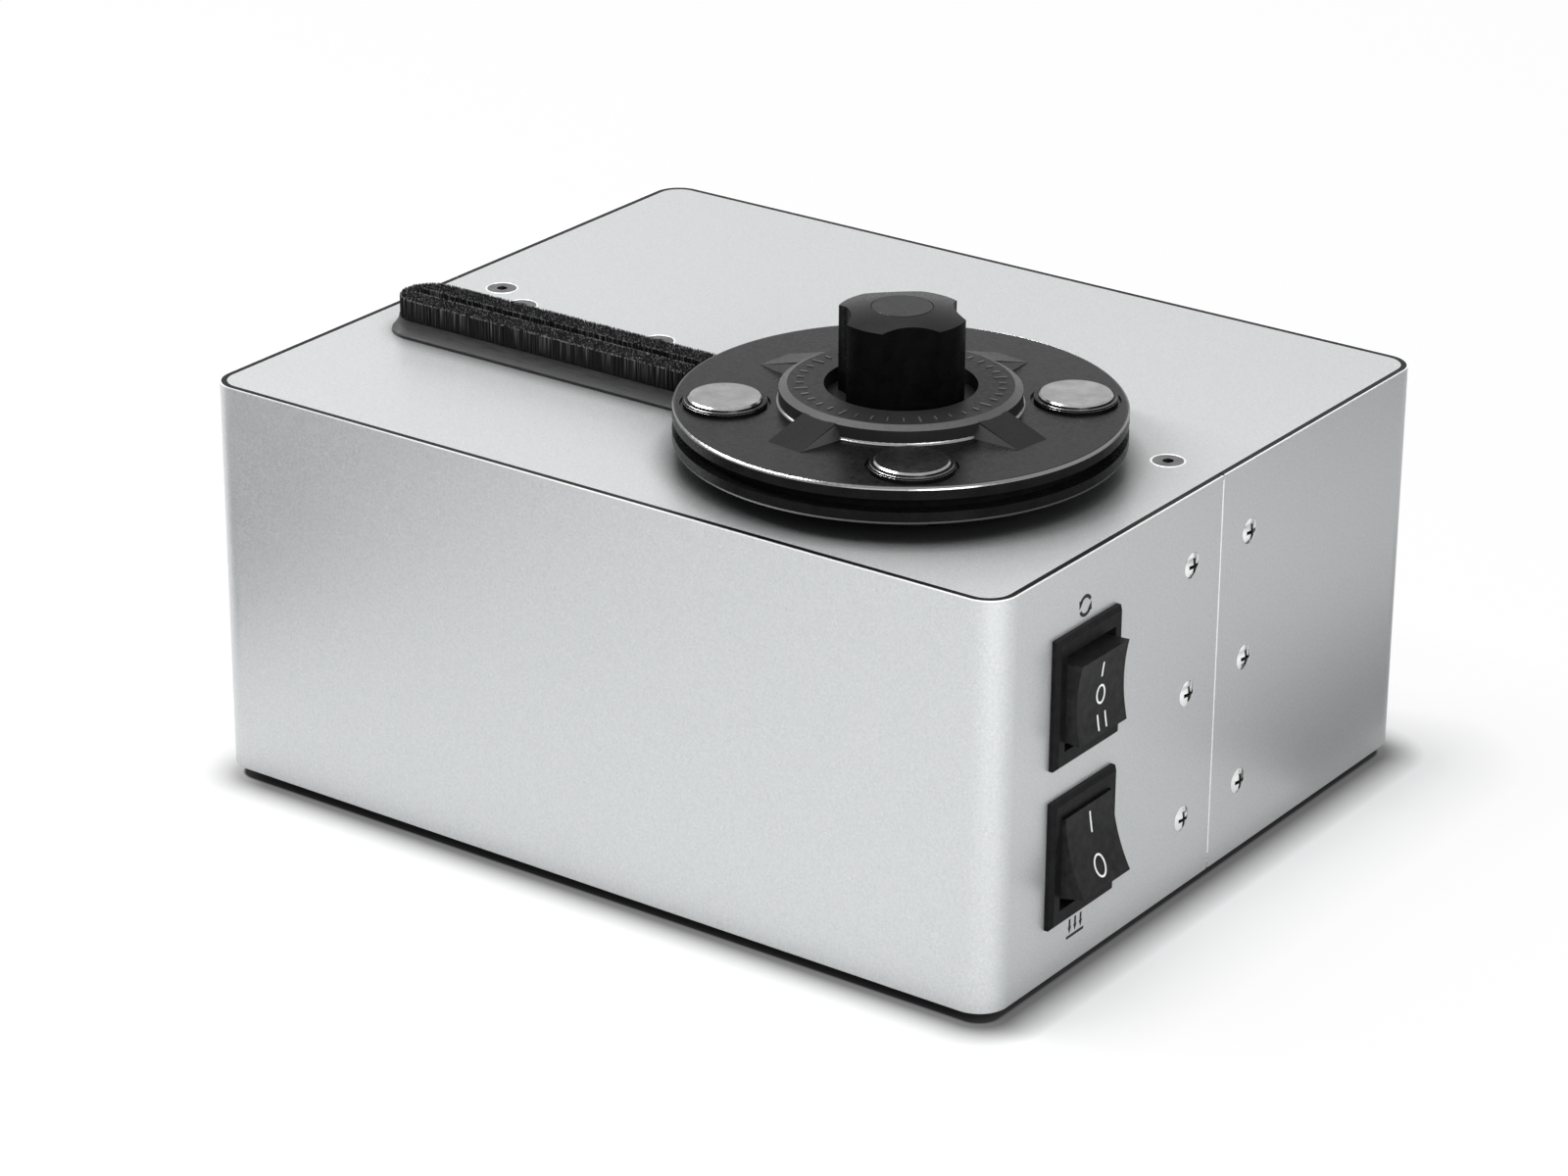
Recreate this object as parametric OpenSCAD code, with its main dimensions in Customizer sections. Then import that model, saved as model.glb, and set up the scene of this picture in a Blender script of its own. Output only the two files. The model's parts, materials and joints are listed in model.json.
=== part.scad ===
/* [Casing] */
// Width of the casing, left to right
body_w = 226; // [222:1:240]
// Depth of the casing, front to back
body_d = 185; // [182:1:200]
// Height of the wrap panels
shell_h = 100; // [98:1:112]
// Outside radius of the vertical corners
corner_r = 7.5; // [5:0.5:10]
// Thickness of the wrap panels
wall_t = 1.5; // [1.4:0.1:2]
// Thickness of the top plate
top_t = 3; // [2.6:0.1:3.6]
// Thickness of the base plate
base_t = 3; // [2.4:0.2:4]
// Gap round the top and base plates
plate_gap = 0.2; // [0.1:0.05:0.4]
// Distance of the side seam behind the middle of the casing
seam_y = 1; // [0:0.5:2]
// Width of the seam between the two wrap panels
seam_w = 0.6; // [0.5:0.1:1]

/* [Feet] */
// Height of the feet below the casing
foot_h = 3.4; // [3:0.2:6]
// Diameter of a foot
foot_d = 14; // [12:1:18]
// Distance from a casing side to the centre of a foot
foot_inset = 16; // [14:1:20]

/* [Joining brackets] */
// Sheet thickness of the side brackets
bracket_t = 2.5; // [2:0.25:3]
// Width of a side bracket along the wall
bracket_w = 35; // [34:1:37]
// Reach of the bracket flanges into the casing
bracket_flange = 20; // [19:0.5:20.5]
// Distance of the panel screws from the seam
panel_screw_off = 12.75; // [11:0.25:13]
// Height between the panel screws
panel_screw_pitch = 32; // [26:1:36]
// Distance of the top plate screws from the side of the casing
top_screw_inset = 15; // [12:1:18]
// Size of the small angles that carry the front and rear edges
angle_size = 12; // [10:1:14]
// Thickness of those angles
angle_t = 2; // [1.5:0.25:2.5]

/* [Screws] */
// Thread diameter of the panel screws
panel_screw_d = 3.5; // [3:0.5:4]
// Head diameter of the panel screws
panel_head_d = 6.2; // [5.8:0.2:7]
// Thread diameter of the top plate screws
top_screw_d = 4; // [3:0.5:4]
// Head diameter of the top plate screws
top_head_d = 7.6; // [7:0.2:8.4]
// Key width of the hexagon sockets
hex_key = 2.5; // [2:0.5:3]
// Thread diameter of the small screws
small_screw_d = 2.9; // [2.5:0.1:3]
// Head diameter of the small screws
small_head_d = 5.4; // [5:0.2:6]

/* [Spindle and platter] */
// Spindle position to the right of the casing middle
spindle_x = 47; // [44:1:50]
// Spindle position in front of the casing middle
spindle_y = -33.5; // [-36:0.5:-31]
// Diameter of the pin that goes through the record
pin_d = 7.1; // [7:0.05:7.15]
// Length of the fitting part of the pin above the platter face
pin_fit_h = 2.7; // [2:0.1:2.8]
// Diameter of the pilot that centres the platter
pilot_d = 9; // [8.4:0.1:9.4]
// Height of the pin above the platter face
pin_h = 14.8; // [12:0.2:15]
// Diameter of the spindle shaft
shaft_d = 10; // [8:0.5:12]
// Diameter of the spindle flange that carries the platter
flange_d = 26; // [22:1:28]
// Thickness of the spindle flange
flange_t = 3.45; // [2.8:0.05:3.6]
// Radius of the two discs
disc_r = 52.4; // [50:0.1:55]
// Thickness of a disc at its rim
rim_t = 3; // [2.4:0.1:3.1]
// Rounding of a disc's outer edge
rim_round = 0.75; // [0.5:0.05:0.9]
// Height of a disc surface beside its hub ring
dome_h = 3.15; // [3.15:0.05:4]
// Outer radius of the hub ring
ring_r = 28; // [27:0.5:30]
// Inner radius of the hub ring
ring_hole_r = 17.7; // [17:0.1:18.5]
// Height of the hub ring on the clamp
ring_h = 7.5; // [7.2:0.1:9]
// Height of the hub ring under the platter
under_ring_h = 6; // [5:0.1:6.1]
// Thickness of the web inside the hub ring
web_t = 3; // [2.6:0.1:3.4]
// Wall thickness of the hub ring
ring_wall = 2.2; // [1.8:0.1:2.6]
// Radius at which the spokes run out
spoke_r = 40.5; // [38:0.5:43]
// Width of a spoke
spoke_w = 9.8; // [8:0.2:12]
// Turn of the spokes about the spindle
spoke_turn = -7; // [-45:0.5:45]
// Thickness of each rubber seal ring
seal_t = 1.45; // [1:0.05:1.6]
// Distance of the seal from the rim
seal_inset = 3.5; // [1.5:0.1:4]
// Width of a seal
seal_w = 3.5; // [2.5:0.1:4.5]
// Gap between the two seals with no record in place
seal_gap = 0.1; // [0.05:0.05:0.3]

/* [Magnets] */
// Diameter of a clamping magnet
magnet_d = 17.2; // [16:0.1:18]
// Thickness of a clamping magnet
magnet_t = 3.6; // [3:0.1:4]
// Distance of the magnets from the spindle
magnet_pcd_r = 40.2; // [40:0.1:41.2]
// Height of a magnet above its disc's flat face
magnet_top = 4.8; // [4.4:0.1:5]
// Height of the collar round a magnet
collar_h = 4; // [3.7:0.1:4.2]
// Depth of the groove round a collar
groove_depth = 0.5; // [0.3:0.1:0.8]
// Wall of the collar round a magnet
collar_wall = 1.1; // [0.9:0.1:1.3]

/* [Knob] */
// Largest radius of the knob
knob_r = 15.1; // [14:0.1:15.5]
// Height of the knob top above the clamp's flat face
knob_top = 26.6; // [24.6:0.1:30]
// Depth of each finger hollow
flute_depth = 1.75; // [0.8:0.05:2]
// Half of the angle that a finger hollow takes
flute_half = 25.5; // [20:0.5:30]
// Turn of the finger hollows about the spindle
knob_turn = 43; // [0:0.5:90]
// Drop of the crowned top from its middle to its edge
crown_drop = 2; // [0.8:0.1:2.4]
// Diameter of the knob cap
cap_d = 14.2; // [13:0.1:16]
// Thickness of the knob cap
cap_t = 1.7; // [1.4:0.1:1.9]
// Outside diameter of the brass bush in the clamp
clamp_bush_d = 12; // [11:0.5:13]
// Head diameter of the knob screw
knob_head_d = 8; // [7:0.2:8.4]

/* [Nozzle and brush] */
// Position of the nozzle's middle line in front of the casing middle
nozzle_y = -32.3; // [-33.5:0.1:-31.5]
// Distance from the spindle to the far end of the nozzle
nozzle_reach = 150; // [148:0.5:151]
// Gap between the nozzle and the discs
nozzle_disc_gap = 2.5; // [1.5:0.1:4]
// Width of the nozzle foot
nozzle_w = 19.2; // [18.4:0.2:20]
// Width of the brush
brush_w = 15; // [14:0.2:16]
// Height of the nozzle body
nozzle_h = 4; // [3.6:0.1:4.6]
// Height of the brush top above the top plate
brush_top = 9.4; // [9:0.1:10]
// Thickness of the brush backing
backing_t = 1; // [0.8:0.1:1.4]
// Width of the suction slot
slot_w = 3; // [2.4:0.1:3.4]
// Distance between bristle tufts
tuft_pitch = 1.76; // [1.72:0.01:1.8]
// Radius of a bristle tuft at its foot
tuft_r = 0.6; // [0.5:0.02:0.62]

/* [Spindle drive] */
// Length of the posts between the top plate and the motor plate
post_h = 47; // [46:0.5:48]
// Diameter of a post
post_d = 8; // [7:0.5:9]
// Distance between posts
post_pitch = 54; // [52:1:56]
// Size of the square motor plate
motor_plate_w = 66; // [64:1:68]
// Thickness of the motor plate
motor_plate_t = 2.5; // [2:0.25:3]
// Diameter of the gearbox
gearbox_d = 60; // [56:1:62]
// Height of the gearbox
gearbox_h = 16; // [14:0.5:17]
// Diameter of the motor can
can_d = 50; // [44:1:54]
// Height of the motor can
can_h = 22; // [20:0.5:23]
// Diameter of the gearbox output shaft
output_d = 6; // [5:0.5:8]
// Outer diameter of the shaft coupling
coupling_d = 18; // [16:0.5:20]
// Length of the shaft coupling
coupling_h = 18; // [16:0.5:19]
// Outer diameter of the bearing housing
housing_d = 22; // [20:0.5:24]
// Length of the bearing housing below the top plate
housing_h = 23; // [20:0.5:24]
// Wall of the plain bearing bushes
bush_wall = 2; // [1.5:0.25:2.5]
// Thickness of the flange on a bush
bush_flange_t = 1; // [0.8:0.1:1.2]

/* [Tank] */
// Height of the liquid tank
tank_h = 74; // [70:0.5:75]
// Wall thickness of the tank
tank_wall = 2.4; // [2:0.1:3]
// Gap between the tank and the walls round it
tank_gap = 1; // [0.6:0.1:2]
// Thickness of the lid gasket
gasket_t = 1; // [0.8:0.1:1.5]
// Thickness of the tank lid
lid_t = 3; // [2.5:0.1:3.2]
// Outer diameter of the pipe from the nozzle into the tank
pipe_d = 20; // [16:0.5:20]
// Wall of that pipe and of the duct under the nozzle
pipe_wall = 1.6; // [1.2:0.1:2]
// Depth of the duct under the nozzle
duct_h = 10; // [8:0.5:10]
// Outer diameter of the drain tube
drain_d = 10; // [8:0.5:12]
// Height of the drain above the tank floor
drain_z = 8; // [7:0.5:12]
// Reach of the drain tube out of the casing
drain_reach = 6; // [5:0.5:7]

/* [Vacuum unit] */
// Diameter of the fan case
fan_d = 82; // [76:1:83]
// Length of the fan case
fan_l = 31; // [28:0.5:33]
// Sheet thickness of the fan case
fan_wall = 1.2; // [1:0.1:1.6]
// Diameter of the air intake
intake_d = 28; // [24:1:32]
// Diameter of the vacuum motor
vac_motor_d = 64; // [60:1:68]
// Length of the vacuum motor behind the fan case
vac_motor_l = 50; // [46:1:52]
// Diameter of the vacuum motor's shaft
vac_shaft_d = 8; // [7:0.5:9]
// Diameter of the fan wheel
wheel_d = 74; // [68:1:75]
// Height of the fan wheel
wheel_h = 11; // [9:0.5:12]
// Number of blades on the fan wheel
wheel_blades = 9; // [7:1:11]
// Distance between the two hanger screws
hanger_pitch = 42.8; // [40:0.2:46]
// Width of the hanger and the saddle along the motor
hanger_w = 14; // [12:1:16]

/* [Switches] */
// Distance from the front of the casing to the middle of the switches
switch_from_front = 35.3; // [34:0.1:37]
// Height of the upper switch below the top of the casing
switch_upper_drop = 31.7; // [31:0.1:33]
// Distance between the two switches
switch_pitch = 39.4; // [38:0.1:41]
// Width of a switch bezel
bezel_w = 26.4; // [25.6:0.1:27]
// Height of a switch bezel
bezel_h = 31.4; // [31:0.1:32]
// Thickness of a switch bezel
bezel_t = 2; // [1.6:0.1:2.4]
// Width of a rocker
rocker_w = 19.4; // [18.8:0.1:19.8]
// Gap between a rocker and its window
rocker_gap = 0.3; // [0.2:0.05:0.5]
// Height of the window in a bezel
window_h = 23.2; // [23:0.1:24]
// Height of a rocker's face
rocker_h = 19.4; // [18.8:0.1:19.6]
// Distance from the pivot to the rocker's face edges
rocker_rise = 7.8; // [7.2:0.1:8]
// Depth of the pivot behind the bezel face
pivot_depth = 4; // [3.6:0.1:4.4]
// Depth of the hollow across a rocker's face
rocker_hollow = 1.1; // [0.6:0.1:1.4]
// Tilt of the vacuum rocker at rest
rocker_tilt = 16; // [12:1:17]
// Depth of a switch body behind the panel
switch_depth = 22; // [20:0.5:24]

/* [Power inlet] */
// Position of the power inlet to the right of the casing middle
inlet_x = 80; // [76:1:82]
// Height of the power inlet above the base plate
inlet_z = 30; // [28:1:34]
// Width of the inlet flange
inlet_w = 50; // [48:1:52]
// Height of the inlet flange
inlet_h = 31; // [30:0.5:34]
// Thickness of the inlet flange
inlet_t = 2; // [1.8:0.1:2.2]
// Depth of the inlet body
inlet_depth = 24; // [22:0.5:26]
// Travel of the fuse drawer
fuse_travel = 12; // [8:1:14]

/* [Control board] */
// Width of the control board
board_w = 84; // [76:1:88]
// Depth of the control board
board_d = 54; // [50:1:56]
// Thickness of the control board
board_t = 1.6; // [1.2:0.2:2]
// Height of the posts under the control board
board_post_h = 7; // [5:0.5:8]

/* [Fits] */
// Radial play of fixed parts in their holes
fit_gap = 0.1; // [0.05:0.01:0.15]
// Radial play of turning parts in their bearings
run_gap = 0.04; // [0.02:0.01:0.08]
// End play under the spindle flange
end_gap = 0.05; // [0.03:0.01:0.15]

/* [Hidden] */
$fn = 48;

in_x = body_w / 2 - wall_t;
in_y = body_d / 2 - wall_t;
z_floor = foot_h + base_t;
z_top = foot_h + shell_h;
z_ceil = z_top - top_t;
eps = 0.01;

// Seam halves and bracket places
seam_front = seam_y - seam_w / 2;
seam_rear = seam_y + seam_w / 2;
panel_rows = [for (k = [-1:1]) z_floor - base_t + shell_h / 2 + k * panel_screw_pitch];
top_screw_x = body_w / 2 - top_screw_inset;
base_screw_off = bracket_w / 2 - 7;
angle_len = 24;
angle_xs = [-body_w / 4 - 14, body_w / 4 + 14];
vent_w = 2.4;
vent_h = 32;
vent_n = 9;
vent_pitch = 5.6;

// Spindle stack, counted up from the top plate
flange_z = z_top + bush_flange_t + end_gap;
platter_z = flange_z + flange_t;
platter_face = platter_z + web_t;
clamp_face = platter_face + 2 * seal_t + seal_gap;
pin_end = platter_face + pin_h;
pin_tip = 1.2;
pin_lead_d = pin_d - 0.6;
post_bottom = z_ceil - post_h;
gearbox_top = post_bottom - motor_plate_t;
gearbox_z = gearbox_top - gearbox_h;
can_z = gearbox_z - can_h;
coupling_mid = post_bottom + 0.8 + coupling_h / 2;
shaft_end = coupling_mid + 0.5;
gearbox_bore_depth = 10;
seal_out = disc_r - seal_inset;
platter_screw_r = 8.6;
housing_screw_r = housing_d / 2 + 4.4;
magnet_turn = spoke_turn + 45;
knob_seat = ring_h - 3.4;
web_low = knob_seat - web_t;
crown_r = (knob_r * knob_r + crown_drop * crown_drop) / (2 * crown_drop);
pin_room = pin_end - clamp_face + 1;
bush_top = knob_top - 6.8;
cap_low = knob_top - cap_t - 0.5;

// Nozzle places
nozzle_x0 = spindle_x - nozzle_reach;
nozzle_r = nozzle_w / 2;
brush_r = brush_w / 2;
disc_clear_r = disc_r + nozzle_disc_gap;
nozzle_x1 = spindle_x - disc_clear_r;
nozzle_cx = nozzle_x0 + nozzle_r;
slot_x0 = nozzle_cx - brush_r + 3.4;
slot_x1 = nozzle_x1 - 4;
nozzle_screw_x = [nozzle_cx + 4, slot_x1 - 8];
duct_flange_t = 2.5;
duct_w = slot_w + 2 * pipe_wall;
nozzle_screw_y = duct_w / 2 + small_head_d / 2 + 0.2;
skirt_steps = 7;
skirt_lip = 0.7;

// Tank places
tank_x0 = -in_x + bracket_t + 0.6;
tank_x1 = spindle_x - motor_plate_w / 2 - 6;
tank_y0 = -in_y + angle_t + tank_gap;
tank_y1 = seam_y - bracket_w / 2 - tank_gap;
tank_z = z_floor;
tank_top = tank_z + tank_h;
lid_z = tank_top + gasket_t;
tank_post = 8;
tank_screw_x = [tank_x0 + tank_wall + tank_post / 2 - 0.4, tank_x1 - tank_wall - tank_post / 2 + 0.4];
tank_screw_y = [tank_y0 + tank_wall + tank_post / 2 - 0.4, tank_y1 - tank_wall - tank_post / 2 + 0.4];
pipe_x = slot_x1 - pipe_d / 2 - 4;
grommet_lip = 2.4;
duct_z = z_ceil - duct_flange_t - duct_h;
pipe_end = lid_z - gasket_t - 3;
drain_y = tank_y0 + 24;
drain_cz = tank_z + drain_z;
drain_bore = 3;
drain_flange_t = 2;
cap_wall = 1.8;

// Vacuum unit places, its axis runs front to back
vac_x = -in_x + bracket_t + fan_d / 2 + 3.1;
vac_z = (z_floor + z_ceil) / 2;
fan_gasket_l = 3;
fan_y0 = tank_y1 + fan_gasket_l;
fan_y1 = fan_y0 + fan_l;
frame_plate_t = 3;
frame_y1 = fan_y1 + frame_plate_t + vac_motor_l;
frame_wall = 2;
hanger_y = fan_y0 + 8.7;
wheel_y = fan_y0 + fan_wall + 2.4;
bearing_d = 19;
bearing_w = 6;
stator_l = 26;
stator_y = fan_y1 + frame_plate_t + 12;
stator_bore = 36;

// Switch places
switch_y = -body_d / 2 + switch_from_front;
upper_z = z_top - switch_upper_drop;
lower_z = upper_z - switch_pitch;
window_w = rocker_w + 2 * rocker_gap;
body_wall = 1.2;
switch_cut_w = window_w + 2 * body_wall + 0.6;
switch_cut_h = window_h + 2 * body_wall + 0.6;
pivot_d = 3;

// Power inlet places
inlet_cz = z_floor + inlet_z;
socket_w = 25;
socket_h = 17;
socket_depth = 16;
fuse_w = 22;
fuse_h = 7;
inlet_body_w = 30;
inlet_body_h = 27;

// Control board places
board_x0 = in_x - 6 - board_w;
board_y0 = in_y - 5 - board_d;
board_z = z_floor + board_post_h;

module rounded(w, d, r) {
  square([w - 2 * r, d], center = true);
  square([w, d - 2 * r], center = true);
  for (x = [-1, 1])
    for (y = [-1, 1])
      translate([x * (w / 2 - r), y * (d / 2 - r)])
        circle(r);
}

module rounded_block(w, d, h, r) {
  linear_extrude(h)
    rounded(w, d, r);
}

// A tube along +Z
module tube(d_out, d_in, h) {
  difference() {
    cylinder(d = d_out, h = h);
    translate([0, 0, -1])
      cylinder(d = d_in, h = h + 2);
  }
}

// Four copies at plus and minus x and y
module four(x, y) {
  for (a = [-1, 1])
    for (b = [-1, 1])
      translate([a * x, b * y, 0])
        children();
}

// Countersunk screw: head face at z = 0, shank down, with its drive recess
module countersunk(d, head_d, length, key) {
  head_h = (head_d - d) / 2;
  difference() {
    union() {
      translate([0, 0, -head_h])
        cylinder(d1 = d, d2 = head_d, h = head_h);
      translate([0, 0, -length])
        cylinder(d = d, h = length - head_h + eps);
    }
    translate([0, 0, -head_h * 0.9])
      cylinder(d = key / cos(30), h = head_h + 1, $fn = 6);
  }
}

// Raised countersunk screw with a cross recess
module cross_screw(d, head_d, length) {
  head_h = (head_d - d) / 2;
  dome = 0.7;
  dome_r = (head_d * head_d / 4 + dome * dome) / (2 * dome);
  difference() {
    union() {
      translate([0, 0, -head_h])
        cylinder(d1 = d, d2 = head_d, h = head_h);
      translate([0, 0, -length])
        cylinder(d = d, h = length - head_h + eps);
      intersection() {
        translate([0, 0, dome - dome_r])
          sphere(dome_r);
        cylinder(d = head_d, h = dome);
      }
    }
    for (a = [0, 90])
      rotate([0, 0, a])
        translate([-head_d * 0.31, -0.45, -1.1])
          cube([head_d * 0.62, 0.9, 2.4]);
  }
}

// The hole that a countersunk screw needs, head face at z = 0
module countersunk_hole(d, head_d, length) {
  head_h = (head_d - d) / 2;
  translate([0, 0, -head_h])
    cylinder(d1 = d + 2 * fit_gap, d2 = head_d + 2 * fit_gap, h = head_h + eps);
  translate([0, 0, -eps])
    cylinder(d = head_d + 2 * fit_gap, h = 1.5);
  translate([0, 0, -length])
    cylinder(d = d + 2 * fit_gap, h = length);
}

// Places of the panel screws on the right or left wall, side = 1 or -1
module panel_screw_places(side) {
  for (z = panel_rows)
    for (s = [-1, 1])
      translate([side * body_w / 2, seam_y + s * panel_screw_off, z])
        rotate([0, side * 90, 0])
          children();
}

module top_screw_places() {
  for (s = [-1, 1])
    translate([s * top_screw_x, seam_y, z_top])
      children();
  for (s = [-1, 1])
    translate([vac_x + s * hanger_pitch / 2, hanger_y, z_top])
      children();
}

module base_screw_places() {
  for (x = [-1, 1])
    for (y = [-1, 1])
      translate([x * top_screw_x, seam_y + y * base_screw_off, foot_h])
        rotate([180, 0, 0])
          children();
}

module post_places() {
  translate([spindle_x, spindle_y, 0])
    four(post_pitch / 2, post_pitch / 2)
      children();
}

module housing_screw_places() {
  translate([spindle_x, spindle_y, z_top])
    for (a = [0:120:240])
      rotate([0, 0, a])
        translate([housing_screw_r, 0, 0])
          children();
}

// Screws that hold the gearbox under the motor plate, heads on the plate
module gearbox_screw_places() {
  translate([spindle_x, spindle_y, post_bottom])
    four(gearbox_d * 0.28, gearbox_d * 0.28)
      children();
}

module foot_places() {
  four(body_w / 2 - foot_inset, body_d / 2 - foot_inset)
    children();
}

module nozzle_screw_places() {
  for (x = nozzle_screw_x)
    for (y = [-1, 1])
      translate([x, nozzle_y + y * nozzle_screw_y, z_ceil - duct_flange_t])
        children();
}

module tank_screw_places() {
  for (x = tank_screw_x)
    for (y = tank_screw_y)
      translate([x, y, lid_z + lid_t])
        children();
}

module inlet_screw_places() {
  for (x = [-1, 1])
    translate([inlet_x + x * 20, body_d / 2 + inlet_t, inlet_cz])
      rotate([-90, 0, 0])
        children();
}

module switch_cut(z) {
  translate([body_w / 2 - wall_t - 1, switch_y - switch_cut_w / 2, z - switch_cut_h / 2])
    cube([wall_t + 2, switch_cut_w, switch_cut_h]);
}

// One closed wrap: the wall of the casing before it is cut at the seam
module wrap() {
  difference() {
    rounded_block(body_w, body_d, shell_h, corner_r);
    translate([0, 0, -1])
      rounded_block(2 * in_x, 2 * in_y, shell_h + 2, corner_r - wall_t);
  }
}

module front_shell() {
  color([0.75, 0.76, 0.76])
    difference() {
      translate([0, 0, foot_h])
        wrap();
      translate([-body_w, seam_front, -1])
        cube([2 * body_w, body_d, z_top + 2]);
      switch_cut(upper_z);
      switch_cut(lower_z);
      for (side = [-1, 1])
        panel_screw_places(side)
          countersunk_hole(panel_screw_d, panel_head_d, wall_t + 2);
      translate([-body_w / 2 - 1, drain_y, drain_cz])
        rotate([0, 90, 0])
          cylinder(d = drain_d + 2 * fit_gap, h = wall_t + 2);
    }
}

module rear_shell() {
  color([0.73, 0.74, 0.74])
    difference() {
      translate([0, 0, foot_h])
        wrap();
      translate([-body_w, seam_rear - body_d, -1])
        cube([2 * body_w, body_d, z_top + 2]);
      for (side = [-1, 1])
        panel_screw_places(side)
          countersunk_hole(panel_screw_d, panel_head_d, wall_t + 2);
      for (k = [0:vent_n - 1])
        translate([vac_x + (k - (vent_n - 1) / 2) * vent_pitch, body_d / 2, vac_z])
          vent_slot();
      translate([inlet_x - inlet_body_w / 2 - 0.3, in_y - 1, inlet_cz - inlet_body_h / 2 - 0.3])
        cube([inlet_body_w + 0.6, wall_t + 2, inlet_body_h + 0.6]);
      inlet_screw_places()
        translate([0, 0, -inlet_t - wall_t - 1])
          cylinder(d = small_screw_d + 2 * fit_gap, h = wall_t + 2);
    }
}

module vent_slot() {
  translate([0, 1, 0])
    rotate([90, 0, 0]) {
      translate([-vent_w / 2, -vent_h / 2, 0])
        cube([vent_w, vent_h, wall_t + 2]);
      for (s = [-1, 1])
        translate([0, s * vent_h / 2, 0])
          cylinder(d = vent_w, h = wall_t + 2);
    }
}

module top_plate() {
  color([0.8, 0.82, 0.83])
    difference() {
      translate([0, 0, z_ceil])
        rounded_block(2 * (in_x - plate_gap), 2 * (in_y - plate_gap), top_t, corner_r - wall_t - plate_gap);
      translate([spindle_x, spindle_y, z_ceil - 1])
        cylinder(d = housing_d + 2 * fit_gap, h = top_t + 2);
      translate([slot_x0, nozzle_y - slot_w / 2, z_ceil - 1])
        cube([slot_x1 - slot_x0, slot_w, top_t + 2]);
      nozzle_screw_places()
        cylinder(d = small_screw_d + 2 * fit_gap, h = 2 * duct_flange_t + top_t);
      top_screw_places()
        countersunk_hole(top_screw_d, top_head_d, top_t + 1);
      post_places()
        translate([0, 0, z_top])
          countersunk_hole(top_screw_d, top_head_d, top_t + 1);
      housing_screw_places()
        countersunk_hole(small_screw_d, small_head_d, top_t + 1);
    }
}

module base_plate() {
  color([0.12, 0.12, 0.13])
    difference() {
      translate([0, 0, foot_h])
        rounded_block(2 * (in_x - plate_gap), 2 * (in_y - plate_gap), base_t, corner_r - wall_t - plate_gap);
      base_screw_places()
        countersunk_hole(top_screw_d, top_head_d, base_t + 1);
      foot_places()
        translate([0, 0, foot_h - 1])
          cylinder(d = small_screw_d + 2 * fit_gap, h = base_t + 2);
      for (k = [0:8])
        translate([spindle_x - 24 + 6 * k, spindle_y, foot_h - 1])
          linear_extrude(base_t + 2)
            square([2.6, 34], center = true);
    }
}

// Side bracket: wall sheet, two flanges and the rib that fills the seam
module side_bracket(side) {
  inside = in_x - bracket_t;
  difference() {
    union() {
      translate([side > 0 ? inside : -in_x, seam_y - bracket_w / 2, z_floor])
        cube([bracket_t, bracket_w, z_ceil - z_floor]);
      for (z = [z_floor, z_ceil - bracket_t])
        translate([side > 0 ? in_x - bracket_flange : -in_x, seam_y - bracket_w / 2, z])
          cube([bracket_flange, bracket_w, bracket_t]);
      translate([side > 0 ? in_x - eps : -body_w / 2, seam_front + fit_gap / 2, foot_h + 0.4])
        cube([wall_t + eps, seam_w - fit_gap, shell_h - 0.8]);
    }
    panel_screw_places(side)
      translate([0, 0, -wall_t - bracket_t - 1])
        cylinder(d = panel_screw_d + 2 * fit_gap, h = bracket_t + 1);
    for (z = [z_floor - 1, z_ceil - bracket_t - 1])
      for (y = z < vac_z ? [-base_screw_off, base_screw_off] : [0])
        translate([side * top_screw_x, seam_y + y, z])
          cylinder(d = top_screw_d + 2 * fit_gap, h = bracket_t + 2);
  }
}

module left_bracket() {
  color([0.85, 0.86, 0.87])
    side_bracket(-1);
}

module right_bracket() {
  color([0.85, 0.86, 0.87])
    side_bracket(1);
}

// An angle in a corner between a wall on the -Y side and a plate below
module angle_piece() {
  translate([-angle_len / 2, 0, 0])
    difference() {
      cube([angle_len, angle_size, angle_size]);
      translate([-1, angle_t, angle_t])
        cube([angle_len + 2, angle_size, angle_size]);
    }
}

module panel_angles() {
  color([0.8, 0.8, 0.81])
    for (x = angle_xs) {
      translate([x, in_y, z_floor])
        mirror([0, 1, 0])
          angle_piece();
      translate([x, in_y, z_ceil])
        mirror([0, 1, 0])
          mirror([0, 0, 1])
            angle_piece();
      translate([x, -in_y, z_ceil])
        mirror([0, 0, 1])
          angle_piece();
    }
}

module side_screws() {
  color([0.9, 0.91, 0.92])
    for (side = [-1, 1])
      panel_screw_places(side)
        cross_screw(panel_screw_d, panel_head_d, wall_t + bracket_t + 1.5);
}

module socket_screws() {
  color([0.6, 0.6, 0.6]) {
    top_screw_places()
      countersunk(top_screw_d, top_head_d, 10, hex_key);
    base_screw_places()
      countersunk(top_screw_d, top_head_d, 7, hex_key);
    post_places()
      translate([0, 0, z_top])
        countersunk(top_screw_d, top_head_d, 12, hex_key);
    post_places()
      translate([0, 0, post_bottom - motor_plate_t])
        rotate([180, 0, 0])
          countersunk(top_screw_d, top_head_d, 9, hex_key);
  }
}

// Small pan-head screw: underside of the head at z = 0, shank down
module pan_screw(length) {
  difference() {
    union() {
      translate([0, 0, -length])
        cylinder(d = small_screw_d, h = length + eps);
      cylinder(d = small_head_d, h = 1.8);
    }
    for (a = [0, 90])
      rotate([0, 0, a])
        translate([-small_head_d * 0.3, -0.4, 0.7])
          cube([small_head_d * 0.6, 0.8, 2]);
  }
}

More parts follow.
